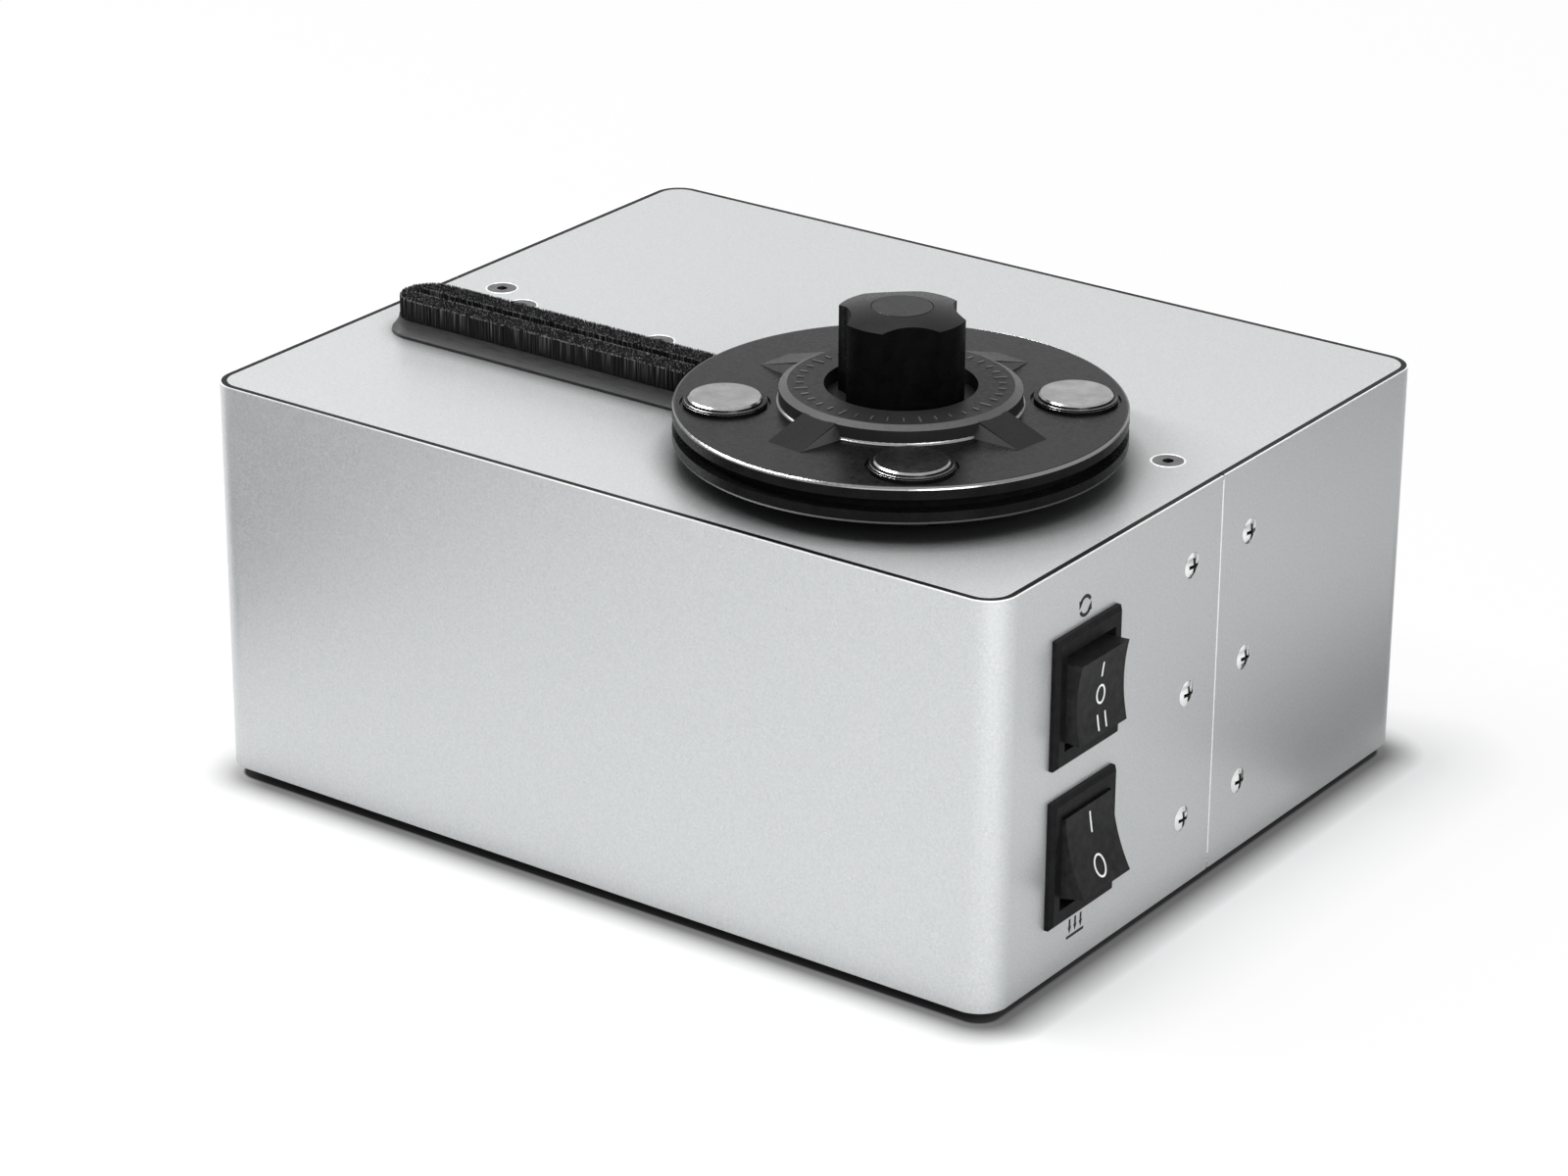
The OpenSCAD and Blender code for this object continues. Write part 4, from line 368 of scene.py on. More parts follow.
MATERIALS = {
    "panel": panel_material(),
    "wrap": wrap_material(),
    "disc": black_plastic("disc_black", tone=0.0055, rough=0.3, grain=900.0, bump=0.2, shine=0.04,
                          side_shine=0.018, edges=round_edges, satin=hub_share, ior=2.0),
    "knob": black_plastic("knob_black", tone=0.003, rough=0.27, grain=1200.0, bump=0.05,
                          shine=0.033, side_shine=0.006, edges=round_edges, ior=2.0),
    "edge": black_plastic("edge_black", tone=0.0055, rough=0.32, grain=900.0, bump=0.1,
                          shine=0.7),
    "tick": black_plastic("tick_grey", tone=0.07, rough=0.35, shine=0.5),
    "cap": black_plastic("cap_black", tone=0.011, rough=0.34, grain=1500.0, bump=0.15,
                         shine=0.12),
    "bezel": black_plastic("bezel_black", tone=0.008, rough=0.34, grain=1600.0, shine=0.06),
    "rocker": black_plastic("rocker_black", tone=0.018, rough=0.36, grain=1800.0, shine=0.06),
    "strip": strip_material(),
    "duct": black_plastic("duct_black", tone=0.02, rough=0.5, shine=0.4),
    "rubber": paint("rubber", grey(0.02), grey(0.01), rough=0.7, grain=1300.0, bump=0.4,
                    shine=0.3),
    "seal": paint("seal_rubber", grey(0.004), grey(0.002), rough=0.8, grain=1300.0, bump=0.3,
                  shine=0.05),
    "bristle": bristle_material(),
    "tip": paint("bristle_tip", grey(0.20), grey(0.07), rough=0.5, grain=3000.0, bump=0.1),
    "nickel": paint("nickel", grey(0.38), grey(0.26), rough=0.2, metallic=1.0, grain=700.0,
                    bump=0.0, rough_spread=0.02),
    "zinc": paint("zinc", (0.86, 0.87, 0.88), (0.7, 0.71, 0.73), rough=0.27, metallic=1.0,
                  grain=1500.0, bump=0.12),
    # Painted shade darkens the cross recesses of these heads, through hollow
    "screw": paint("bright_screw", (0.97, 0.98, 0.97), (0.86, 0.88, 0.87), rough=0.18,
                   metallic=1.0, grain=1500.0, bump=0.08, hollow=1.1 * MM),
    "socket": paint("socket_steel", (0.16, 0.16, 0.165), (0.09, 0.09, 0.095), rough=0.32,
                    metallic=1.0, grain=1500.0),
    "rim": paint("bare_rim", grey(0.97), (0.9, 0.9, 0.91), rough=0.22, metallic=1.0,
                 grain=1500.0, bump=0.05),
    # The seam's folded edge, painted near white as a painted highlight
    "fold_highlight": paint("fold_painted_highlight", grey(0.97), grey(0.92), rough=0.4, metallic=0.1, grain=1500.0,
                  bump=0.05),
    "steel": paint("steel", (0.62, 0.63, 0.64), (0.5, 0.51, 0.52), rough=0.3, metallic=1.0),
    "aluminium": paint("aluminium", (0.76, 0.77, 0.78), (0.66, 0.67, 0.68), rough=0.38,
                       metallic=1.0),
    "brass": paint("brass", (0.72, 0.53, 0.24), (0.58, 0.42, 0.18), rough=0.3, metallic=1.0),
    "copper": paint("copper_wire", (0.6, 0.24, 0.11), (0.4, 0.14, 0.06), rough=0.4, metallic=0.7,
                    grain=2500.0, bump=0.5),
    "tank": paint("tank_plastic", (0.5, 0.52, 0.53), (0.42, 0.44, 0.45), rough=0.4),
    "black_paint": paint("black_paint", (0.028, 0.028, 0.03), (0.018, 0.018, 0.02), rough=0.55),
    "gear_paint": paint("gearbox_paint", (0.1, 0.105, 0.11), (0.07, 0.072, 0.076), rough=0.5),
    "foam": paint("foam", (0.07, 0.07, 0.072), grey(0.03), rough=0.9, grain=600.0, bump=1.0,
                  depth=0.4 * MM),
    "board": paint("board_green", (0.04, 0.17, 0.08), (0.025, 0.11, 0.05), rough=0.35,
                   grain=500.0),
    "board_dark": paint("board_dark", (0.06, 0.06, 0.065), (0.035, 0.035, 0.04), rough=0.45),
    "wire": paint("wire", (0.14, 0.05, 0.035), (0.09, 0.03, 0.02), rough=0.4, grain=400.0),
    "mark": paint("mark_white", (0.85, 0.85, 0.84), (0.78, 0.78, 0.77), rough=0.5, grain=2500.0,
                  bump=0.05),
    "print": paint("print_black", grey(0.012), grey(0.006), rough=0.5, grain=2500.0, bump=0.05,
                   shine=0.3),
}

LOOKS = {
    "wrap": ["front_shell", "rear_shell"],
    "panel": ["top_plate"],
    "black_paint": ["base_plate"],
    "zinc": ["left_bracket", "right_bracket", "panel_angles", "motor_plate", "knob_screw"],
    "screw": ["side_screws"],
    "socket": ["socket_screws", "small_screws", "platter_screws"],
    "rubber": ["feet", "tank_gasket", "lid_grommet", "drain_cap", "fan_gasket", "fan_saddle"],
    "seal": ["platter_seal", "clamp_seal"],
    "strip": ["nozzle_body"],
    "duct": ["nozzle_duct", "drain_tube", "power_inlet", "fuse_drawer"],
    "disc": ["platter", "clamp_disc"],
    "knob": ["clamp_knob"],
    "cap": ["knob_cap"],
    "bezel": ["motor_switch", "vacuum_switch"],
    "rocker": ["motor_rocker", "vacuum_rocker"],
    "bristle": ["brush"],
    "tank": ["tank", "tank_lid"],
    "aluminium": ["fan_case", "fan_wheel", "motor_frame", "bearing_housing", "shaft_coupling",
                  "motor_posts", "fan_hanger"],
    "steel": ["vacuum_bearings", "spindle", "gearbox_shaft", "motor_can", "vacuum_armature"],
    "copper": ["vacuum_stator"],
    "foam": ["exhaust_filter"],
    "brass": ["spindle_bushes", "clamp_bush"],
    "nickel": ["platter_magnets", "clamp_magnets"],
    "gear_paint": ["gearbox"],
    "board": ["control_board"],
    "board_dark": ["board_parts"],
    "wire": ["wiring"],
}

# Edge rounding in millimetres for the nodes that show
ROUNDED = {
    "clamp_disc": 0.32, "platter": 0.25, "clamp_knob": 0.3, "knob_cap": 0.12,
    "motor_switch": 0.6, "vacuum_switch": 0.6, "motor_rocker": 0.4, "vacuum_rocker": 0.4,
    "front_shell": 0.16, "rear_shell": 0.16, "top_plate": 0.12, "nozzle_body": 0.12,
    "feet": 0.3, "drain_cap": 0.3, "power_inlet": 0.2,
}
# Angles in degrees from which an edge stays sharp, and from which it is rounded. The discs have
# wider ones, for the shallow steps of their turned faces.
SHARP_FROM = 32.0
DISC_SHARP_FROM = 50.0
ROUND_FROM = 34.0
DISC_ROUND_FROM = 52.0


def smooth_by_angle(obj, degrees):
    for polygon in obj.data.polygons:
        polygon.use_smooth = True
    obj.data.set_sharp_from_angle(angle=math.radians(degrees))


def dress_frame():
    """Gives every CAD node its material, smooth faces and rounded edges."""
    for look, names in LOOKS.items():
        for name in names:
            obj = nodes[name]
            obj.data.materials.clear()
            obj.data.materials.append(MATERIALS[look])
            smooth_by_angle(obj, DISC_SHARP_FROM if look == "disc" else SHARP_FROM)
    for name, width in ROUNDED.items():
        bevel = nodes[name].modifiers.new("edges", "BEVEL")
        bevel.width = width * MM
        bevel.segments = 2
        bevel.limit_method = "ANGLE"
        bevel.angle_limit = math.radians(DISC_ROUND_FROM if name in LOOKS["disc"] else ROUND_FROM)
        bevel.harden_normals = True
        bevel.use_clamp_overlap = name not in LOOKS["bezel"] + LOOKS["rocker"]


# Mesh pieces

def new_piece(name, mesh, look, body):
    """A finished piece from a bmesh, riding on a body."""
    data = bpy.data.meshes.new(name)
    mesh.normal_update()
    mesh.to_mesh(data)
    mesh.free()
    data.materials.append(MATERIALS[look])
    obj = bpy.data.objects.new(name, data)
    bpy.context.scene.collection.objects.link(obj)
    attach(obj, body)
    return obj


def face_outwards(mesh):
    bmesh.ops.recalc_face_normals(mesh, faces=mesh.faces)


def bridge(mesh, first, second):
    """Faces between two closed loops with the same number of corners."""
    count = len(first)
    for k in range(count):
        n = (k + 1) % count
        mesh.faces.new((first[k], first[n], second[n], second[k]))


def add_turning(mesh, centre, profile, turns=96):
    """A ring turned about an upright axis from a closed (radius, height) profile."""
    rings = []
    for k in range(turns):
        a = 2 * math.pi * k / turns
        rings.append([mesh.verts.new((centre.x + r * math.cos(a), centre.y + r * math.sin(a),
                                      centre.z + z)) for r, z in profile])
    for k in range(turns):
        bridge(mesh, rings[(k + 1) % turns], rings[k])


def round_spindle(x, y, z, angle):
    """A point of a plan that is turned about the spindle's axis."""
    return Vector((spindle.x + x * math.cos(angle) - y * math.sin(angle),
                   spindle.y + x * math.sin(angle) + y * math.cos(angle), z))


# Bristles

# Clearance to the discs, half the suction slot's width, and where the slot begins and ends
DISC_CLEAR = 4.6 * MM
SLOT_HALF = 1.45 * MM
SLOT_FROM = 3.6 * MM
SLOT_TO = 2.2 * MM
# Spacing of the fibres in a row, the rows' spacing as a share of it, and their jitter in mm
PITCH = 0.37 * MM
ROW_SHARE = 0.87
JITTER = 0.07
# Width of the band along an edge where paler ends line up as a painted highlight, and the share of
# such ends there and over the rest of the face
EDGE_BAND = 0.42 * MM
EDGE_PALE_HIGHLIGHT = 0.7
INNER_PALE = 0.07


def brush_plan():
    """A test for points inside the brush's plan, clear of the suction slot and the discs."""
    lo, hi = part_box("brush")
    disc_lo, disc_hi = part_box("clamp_disc")
    r = (hi.y - lo.y) / 2
    mid = (hi.y + lo.y) / 2
    keep_off = (disc_hi.x - disc_lo.x) / 2 + DISC_CLEAR

    def inside(x, y):
        dy = y - mid
        if abs(dy) > r or (x < lo.x + r and math.hypot(x - lo.x - r, dy) > r):
            return False
        if math.hypot(x - spindle.x, y - spindle.y) < keep_off:
            return False
        return not (abs(dy) < SLOT_HALF and lo.x + SLOT_FROM < x < hi.x - SLOT_TO)
    return inside


def add_fibre(mesh, x, y, z0, z1, r, lean, turn):
    """One square bristle with a rounded-off tip."""
    rings = []
    for share, width in ((0.0, 1.0), (0.93, 0.9), (1.0, 0.5)):
        z = z0 + (z1 - z0) * share
        cx = x + lean[0] * share
        cy = y + lean[1] * share
        rings.append([mesh.verts.new((cx + r * width * math.cos(turn + a * math.pi / 2),
                                      cy + r * width * math.sin(turn + a * math.pi / 2), z))
                      for a in range(4)])
    for low, high in zip(rings, rings[1:]):
        bridge(mesh, low, high)
    mesh.faces.new(rings[-1])


def make_bristles():
    """Densely set fibres, with paler ends scattered over the face and lined up along its edges as
    a painted highlight.
    """
    rng = random.Random(7)
    lo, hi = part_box("brush")
    in_brush = brush_plan()
    fibres = bmesh.new()
    tips = bmesh.new()
    for j in range(int((hi.y - lo.y) / (PITCH * ROW_SHARE)) + 1):
        y = lo.y + 0.15 * MM + j * PITCH * ROW_SHARE
        for i in range(int((hi.x - lo.x) / PITCH) + 1):
            px = lo.x + 0.1 * MM + (i + 0.5 * (j % 2)) * PITCH + rng.uniform(-JITTER, JITTER) * MM
            py = y + rng.uniform(-JITTER, JITTER) * MM
            if not in_brush(px, py):
                continue
            top = hi.z - rng.uniform(0.02, 0.10) * MM
            lean = (rng.uniform(-0.1, 0.1) * MM, rng.uniform(-0.07, 0.07) * MM)
            r = rng.uniform(0.12, 0.17) * MM
            turn = rng.uniform(0, math.pi / 2)
            add_fibre(fibres, px, py, lo.z, top, r, lean, turn)
            at_edge = not (in_brush(px, py - EDGE_BAND) and in_brush(px, py + EDGE_BAND))
            # Along the edges the paler ends make a painted highlight
            if rng.random() < (EDGE_PALE_HIGHLIGHT if at_edge else INNER_PALE):
                add_fibre(tips, px + lean[0], py + lean[1], top - 0.25 * MM, top + 0.02 * MM,
                          r * 0.95, (0.0, 0.0), turn)
    brush = new_piece("bristles", fibres, "bristle", "casing")
    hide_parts("brush")
    new_piece("bristle_tips", tips, "tip", "casing")


# Marks

# How far a mark stands out, how deep it is sunk, and the width of a rocker mark's lines
MARK_T = 0.05 * MM
MARK_SINK = 0.02 * MM
LINE = 0.5 * MM
# Distance of a pictogram's centre from its switch
MARK_RISE = 4.0 * MM
# A rocker's face: its height over the pivot, the depth of its hollow and half its length
FACE_RISE = 7.8 * MM
FACE_HOLLOW = 1.1 * MM
FACE_HALF = 9.7 * MM
# Tilt in degrees at which the vacuum rocker rests
VACUUM_REST = -16.0
# The scale on the hub ring: its radius, its number of bars, and half their lengths
RING_MID = 23.2 * MM
TICKS = 40
TICK_HALF = 0.9 * MM
FIFTH_HALF = 1.5 * MM


def add_plate(mesh, corners, place, thickness):
    """A thin prism over a closed outline of (u, v) points, put in space by place(u, v, w)."""
    low = [mesh.verts.new(place(u, v, -MARK_SINK)) for u, v in corners]
    high = [mesh.verts.new(place(u, v, thickness)) for u, v in corners]
    mesh.faces.new(high)
    mesh.faces.new(list(reversed(low)))
    bridge(mesh, low, high)


def bar(u, v0, v1, width, steps=6):
    """Outline of a straight upright bar with square ends."""
    left = [(u - width / 2, v0 + (v1 - v0) * k / steps) for k in range(steps + 1)]
    right = [(u + width / 2, v1 - (v1 - v0) * k / steps) for k in range(steps + 1)]
    return list(reversed(left + right))


def add_ring(mesh, u, v, ru, rv, width, place, start=0.0, end=360.0, steps=40):
    """A flat oval ring or arc with the thickness of a mark."""
    closed = end - start >= 360.0
    count = steps if closed else steps + 1
    sections = []
    for k in range(count):
        a = math.radians(start + (end - start) * k / steps)
        sections.append([mesh.verts.new(place(u + (ru + grow * width) * math.cos(a),
                                              v + (rv + grow * width) * math.sin(a), w))
                         for grow, w in ((-0.5, -MARK_SINK), (-0.5, MARK_T), (0.5, MARK_T),
                                         (0.5, -MARK_SINK))])
    for k in range(count if closed else count - 1):
        bridge(mesh, sections[k], sections[(k + 1) % count])
    if not closed:
        mesh.faces.new(list(reversed(sections[0])))
        mesh.faces.new(sections[-1])


def rocker_face(joint, tilt):
    """Maps (u along the wall, v up the face, w out of it) onto a rocker's hollow face."""
    pivot = Vector(joints[joint]["pos_m"])
    radius = (FACE_HALF * FACE_HALF + FACE_HOLLOW * FACE_HOLLOW) / (2 * FACE_HOLLOW)
    turn = Matrix.Rotation(math.radians(tilt), 3, "Y")

    def place(u, v, w):
        x = FACE_RISE - FACE_HOLLOW + radius - math.sqrt(radius * radius - v * v)
        return pivot + turn @ Vector((x + w, u, v))
    return place


def motor_marks():
    """I, O and II down the upper rocker."""
    mesh = bmesh.new()
    place = rocker_face("motor_rocker_tilt", 0.0)
    add_plate(mesh, bar(0.0, 3.9 * MM, 7.5 * MM, LINE), place, MARK_T)
    add_ring(mesh, 0.0, -0.4 * MM, 1.6 * MM, 2.1 * MM, LINE, place)
    for u in (-1.55, 1.55):
        add_plate(mesh, bar(u * MM, -8.6 * MM, -4.9 * MM, LINE), place, MARK_T)
    new_piece("motor_marks", mesh, "mark", "motor_rocker_unit")


def vacuum_marks():
    """I and O down the lower rocker."""
    mesh = bmesh.new()
    place = rocker_face("vacuum_rocker_tilt", VACUUM_REST)
    add_plate(mesh, bar(0.0, 3.0 * MM, 8.0 * MM, LINE), place, MARK_T)
    add_ring(mesh, 0.0, -5.0 * MM, 1.9 * MM, 2.55 * MM, LINE, place)
    new_piece("vacuum_marks", mesh, "mark", "vacuum_rocker_unit")


def wall_place(y, z):
    """Maps (u towards the rear, v up, w out) onto the right wall, round a centre."""
    def place(u, v, w):
        return Vector((case_hi.x + w, y + u, z + v))
    return place


def arrow_head(u, v, size, turn):
    """A triangle pointing along a direction given in degrees."""
    points = []
    for angle, reach in ((0.0, 1.0), (130.0, 0.8), (230.0, 0.8)):
        a = math.radians(turn + angle)
        points.append((u + size * reach * math.cos(a), v + size * reach * math.sin(a)))
    return points


def turning_mark():
    """Printed over the upper switch: two arrows that chase each other round a circle."""
    lo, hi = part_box("motor_switch")
    mesh = bmesh.new()
    place = wall_place((lo.y + hi.y) / 2, hi.z + MARK_RISE)
    r, width, head = 2.2 * MM, 0.85 * MM, 1.3 * MM
    for start in (25.0, 205.0):
        add_ring(mesh, 0.0, 0.0, r, r, width, place, start, start + 122.0, 20)
        tip = math.radians(start + 131.0)
        add_plate(mesh, arrow_head(r * math.cos(tip), r * math.sin(tip), head, start + 228.0),
                  place, MARK_T)
    new_piece("turning_mark", mesh, "print", "casing")


def suction_mark():
    """Printed under the lower switch: three arrows drawn down on to a line."""
    lo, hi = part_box("vacuum_switch")
    mesh = bmesh.new()
    place = wall_place((lo.y + hi.y) / 2, lo.z - MARK_RISE)
    half, low, high = 3.6 * MM, -2.4 * MM, -1.7 * MM
    add_plate(mesh, [(-half, low), (half, low), (half, high), (-half, high)], place, MARK_T)
    for u in (-2.3 * MM, 0.0, 2.3 * MM):
        add_plate(mesh, bar(u, 0.2 * MM, 2.3 * MM, 0.7 * MM, 1), place, MARK_T)
        add_plate(mesh, arrow_head(u, -0.2 * MM, 1.1 * MM, 270.0), place, MARK_T)
    new_piece("suction_mark", mesh, "print", "casing")


def hub_ticks():
    """A raised scale on the ring round the knob: short bars with a longer one every fifth."""
    mesh = bmesh.new()
    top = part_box("clamp_disc")[1].z

    def put(angle):
        def place(u, v, w):
            return round_spindle(RING_MID + v, u, top + w, angle)
        return place

    for k in range(TICKS):
        half = FIFTH_HALF if k % 5 == 0 else TICK_HALF
        add_plate(mesh, bar(0.0, -half, half, 0.4 * MM, 1), put(2 * math.pi * k / TICKS),
                  0.22 * MM)
    new_piece("hub_ticks", mesh, "tick", "clamp_unit")


# Thin trim on the clamp disc, with heights over the disc's lower face

# Height of the disc's face at the foot of the hub ring, and the radius of the fillet there
DOME_RISE = 3.12 * MM
FILLET = 0.9 * MM
# The disc's rim: its thickness, its rounding, and the bevel's width and inner depth
RIM_T = 3.0 * MM
RIM_ROUND = 0.75 * MM
BEVEL_HALF = 0.16 * MM
BEVEL_PROUD = 0.02 * MM
BEVEL_DEPTH = 0.3 * MM
# The magnets' distance from the axis, and the radius and heights of the collar round each
MAGNETS_R = 40.2 * MM
COLLAR_R = 9.7 * MM
COLLAR_LOW = 3.4 * MM
COLLAR_TOP = 4.09 * MM
# The spokes: angle of the first in degrees, both ends, half the width and height at the ring
SPOKE_TURN = -7.0
SPOKE_FROM = 26.6 * MM
SPOKE_TO = 39.3 * MM
SPOKE_HALF = 4.9 * MM
SPOKE_HIGH = 6.68 * MM
# How far a spoke's side wall leans out for each unit of its height
WALL_LEAN = 0.45
TRIM_SINK = 0.01 * MM


def ring_fillet():
    """The rounded foot of the hub ring, where it rises out of the clamp disc."""
    mesh = bmesh.new()
    centre = Vector((spindle.x, spindle.y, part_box("clamp_disc")[0].z + DOME_RISE))
    profile = [(RING_FOOT + FILLET, -0.4 * MM), (RING_FOOT, -0.4 * MM), (RING_FOOT, FILLET)]
    for k in range(1, 7):
        a = math.radians(180 + 15 * k)
        profile.append((RING_FOOT + FILLET + FILLET * math.cos(a), FILLET + FILLET * math.sin(a)))
    add_turning(mesh, centre, profile)
    face_outwards(mesh)
    obj = new_piece("ring_fillet", mesh, "disc", "clamp_unit")
    smooth_by_angle(obj, DISC_SHARP_FROM)


def rim_line():
    """The narrow bevel round the upper edge of the clamp disc."""
    mesh = bmesh.new()
    lo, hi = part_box("clamp_disc")
    cut = RIM_ROUND * (1 - math.sqrt(0.5))
    edge, top = (hi.x - lo.x) / 2 - cut, RIM_T - cut
    outer, inner = BEVEL_PROUD, -BEVEL_DEPTH
    profile = [(edge + outer + BEVEL_HALF, top + outer - BEVEL_HALF),
               (edge + outer - BEVEL_HALF, top + outer + BEVEL_HALF),
               (edge + inner - BEVEL_HALF, top + inner + BEVEL_HALF),
               (edge + inner + BEVEL_HALF, top + inner - BEVEL_HALF)]
    add_turning(mesh, Vector((spindle.x, spindle.y, lo.z)), profile, 192)
    face_outwards(mesh)
    obj = new_piece("rim_line", mesh, "disc", "clamp_unit")
    smooth_by_angle(obj, DISC_SHARP_FROM)


def collar_lips():
    """The bevelled outer edge of the collar round each magnet of the clamp."""
    mesh = bmesh.new()
    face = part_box("clamp_disc")[0].z
    inner, outer = COLLAR_R - 0.7 * MM, COLLAR_R + 0.03 * MM
    profile = [(inner, COLLAR_LOW), (outer, COLLAR_LOW), (outer, COLLAR_TOP - 0.43 * MM),
               (COLLAR_R - 0.4 * MM, COLLAR_TOP), (inner, COLLAR_TOP)]
    for k in range(4):
        angle = math.radians(SPOKE_TURN + 45 + 90 * k)
        add_turning(mesh, round_spindle(MAGNETS_R, 0.0, face, angle), profile, 64)
    face_outwards(mesh)
    new_piece("collar_lips", mesh, "disc", "clamp_unit")


def add_spoke_wall(mesh, face, angle, side):
    """The sloped wall on one side, 1 or -1, of the spoke at an angle."""
    def put(x, y, z):
        return mesh.verts.new(round_spindle(x, y * side, face + z, angle))

    beside = SPOKE_HALF - TRIM_SINK
    top = put(SPOKE_FROM, beside, SPOKE_HIGH)
    back = put(SPOKE_FROM, beside, DOME_RISE - 0.2 * MM)
    foot = put(SPOKE_FROM, SPOKE_HALF + WALL_LEAN * (SPOKE_HIGH - DOME_RISE),
               DOME_RISE - 0.05 * MM)
    tip = put(SPOKE_TO, beside, DOME_RISE)
    for corners in ((top, foot, tip), (top, back, foot), (back, tip, foot), (top, tip, back)):
        mesh.faces.new(corners)


def spoke_walls():
    """The sloped side walls of the four spokes that run down from the hub ring."""
    mesh = bmesh.new()
    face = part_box("clamp_disc")[0].z
    for k in range(4):
        for side in (1, -1):
            add_spoke_wall(mesh, face, math.radians(SPOKE_TURN + 90 * k), side)
    face_outwards(mesh)
    new_piece("spoke_walls", mesh, "edge", "clamp_unit")


# Thin trim on the casing

# Corners of a countersink's bare bevel: growth past the screw head and rise over the plate, in mm
BARE_BEVEL = ((-0.12, 0.0), (0.0, 0.08), (0.2, 0.08), (0.4, 0.0))
BEVEL_STEPS = 48
# A screw head is wider than its socket's mouth, which lies in the same plane
HEAD_WIDTH = 5 * MM
# The seam's strip, a folded edge painted near white as a painted highlight: half its width and its
# flat face, its depth, and how far it stands out
SEAM_HALF = 0.295 * MM
SEAM_FLAT = 0.2 * MM
SEAM_DEPTH = 0.5 * MM
SEAM_PROUD = 0.01 * MM


def head_places():
    """Centre and radius of each screw head that lies flush in the top plate."""
    screws = nodes["socket_screws"]
    points = {v.index: screws.matrix_world @ v.co for v in screws.data.vertices}
    flush = {index: point for index, point in points.items() if point.z > TOP - 0.1 * MM}
    group = {index: {index} for index in flush}
    for edge in screws.data.edges:
        a, b = edge.vertices
        if a in flush and b in flush and group[a] is not group[b]:
            group[a] |= group[b]
            for index in group[b]:
                group[index] = group[a]
    places = {}
    for members in group.values():
        low, high = ([pick(flush[i][axis] for i in members) for axis in range(3)]
                     for pick in (min, max))
        if high[0] - low[0] > HEAD_WIDTH:
            centre = (Vector(low) + Vector(high)) / 2
            places[(round(centre.x, 4), round(centre.y, 4))] = (centre, (high[0] - low[0]) / 2)
    return list(places.values())


def countersink_rings():
    """The bare bevel of each countersink in the top plate."""
    mesh = bmesh.new()
    for centre, radius in head_places():
        rings = []
        for grow, rise in BARE_BEVEL:
            r = radius + grow * MM
            rings.append([mesh.verts.new((centre.x + r * math.cos(2 * math.pi * k / BEVEL_STEPS),
                                          centre.y + r * math.sin(2 * math.pi * k / BEVEL_STEPS),
                                          TOP + rise * MM)) for k in range(BEVEL_STEPS)])
        for inner, outer in zip(rings, rings[1:]):
            bridge(mesh, outer, inner)
    new_piece("countersink_rings", mesh, "rim", "casing")


def seam_strip(side):
    """The folded edge that shows in the joint between the two wraps, painted near white as a
    painted highlight.
    """
    mesh = bmesh.new()
    wall = case_hi.x if side > 0 else case_lo.x
    mid = (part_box("front_shell")[1].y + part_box("rear_shell")[0].y) / 2
    profile = [(-SEAM_HALF, -SEAM_DEPTH), (SEAM_HALF, -SEAM_DEPTH), (SEAM_HALF, -0.06 * MM),
               (SEAM_FLAT, SEAM_PROUD), (-SEAM_FLAT, SEAM_PROUD), (-SEAM_HALF, -0.06 * MM)]
    low, high = ([mesh.verts.new((wall + side * x, mid + y, z)) for y, x in profile]
                 for z in (case_lo.z + 4.0 * MM, TOP - 1.2 * MM))
    bridge(mesh, low, high)
    mesh.faces.new(list(reversed(low)))
    mesh.faces.new(high)
    face_outwards(mesh)
    new_piece("seam_right" if side > 0 else "seam_left", mesh, "fold_highlight", "casing")


# Floor, light and camera

FLOOR_HALF = 6.0
FLOOR_TONE = 0.92
# Share of plain white in the floor as the camera sees it, at distances in mm from the casing's
# outline, kept low near the casing so that a painted shade shows there, and the range of distances
# that this painted shade is worked out over
FLOOR_WHITE = ((-8.0, 0.1), (0.0, 0.17), (9.0, 0.56), (20.0, 0.88), (36.0, 0.95))
SHADE_FROM = -10.0
SHADE_TO = 40.0
# How much slower the floor's painted shade pales on the right, and how far it lies off to the
# right
SHADE_SIDE = 0.72
SHADE_SHIFT = 8 * MM
# Distances from the outline between which the painted black shade of the gap under the casing ends
UNDER_CASING_SHADE = (-2.2 * MM, -1.5 * MM)
# Tone of the floor's painted contact shadow and the distance over which it fades
CONTACT_SHADOW_TONE = 0.03
CONTACT_SHADOW_FADE = 10 * MM

# Two corners of each dark card that stands in for shade on the floor, and the cards' height over
# the floor
SHADE_CARDS = {
    "shade_card_behind": ((0.122, 0.06), (0.165, 0.24)),
    "shade_card_left": ((-0.42, -0.42), (-0.17, -0.13)),
    "shade_card_far": ((0.22, 0.24), (0.42, 0.56)),
}
CARD_HEIGHT = 0.5 * MM

WORLD_TONE = (0.96, 0.98, 1.0)
WORLD_LIGHT = 0.25
WHITE = grey(1.0)

UP = (0.0, 0.0, 1.0)
# Softboxes: place, size, power in watts and direction of the long side
LIGHTS = {
    "key": ((-0.3, 0.15, 1.25), (1.15, 1.15), 5.3, UP),
    "strip": ((-0.75, -0.3, 0.75), (0.06, 1.3), 9.5, (0.94, -0.45, 0.63)),
    "front": ((0.35, -0.75, 0.4), (0.4, 0.35), 0.4, UP),
    "side": ((0.55, -0.36, 0.36), (0.3, 0.3), 2.7, UP),
}
LIGHTS_AIM = (0.0, 0.0, 0.06)

# The photograph's viewpoint, fitted to the casing's corners: angles in degrees, place in casing
# widths, and the lens in mm
AZIMUTH, ELEVATION, ROLL = 35.61, 23.32, 0.36
PLACE_SIDE, PLACE_LIFT, PLACE_BACK = -0.03439, -0.02700, 5.19840
CASE_WIDTH = 226 * MM
LENS = 110.35


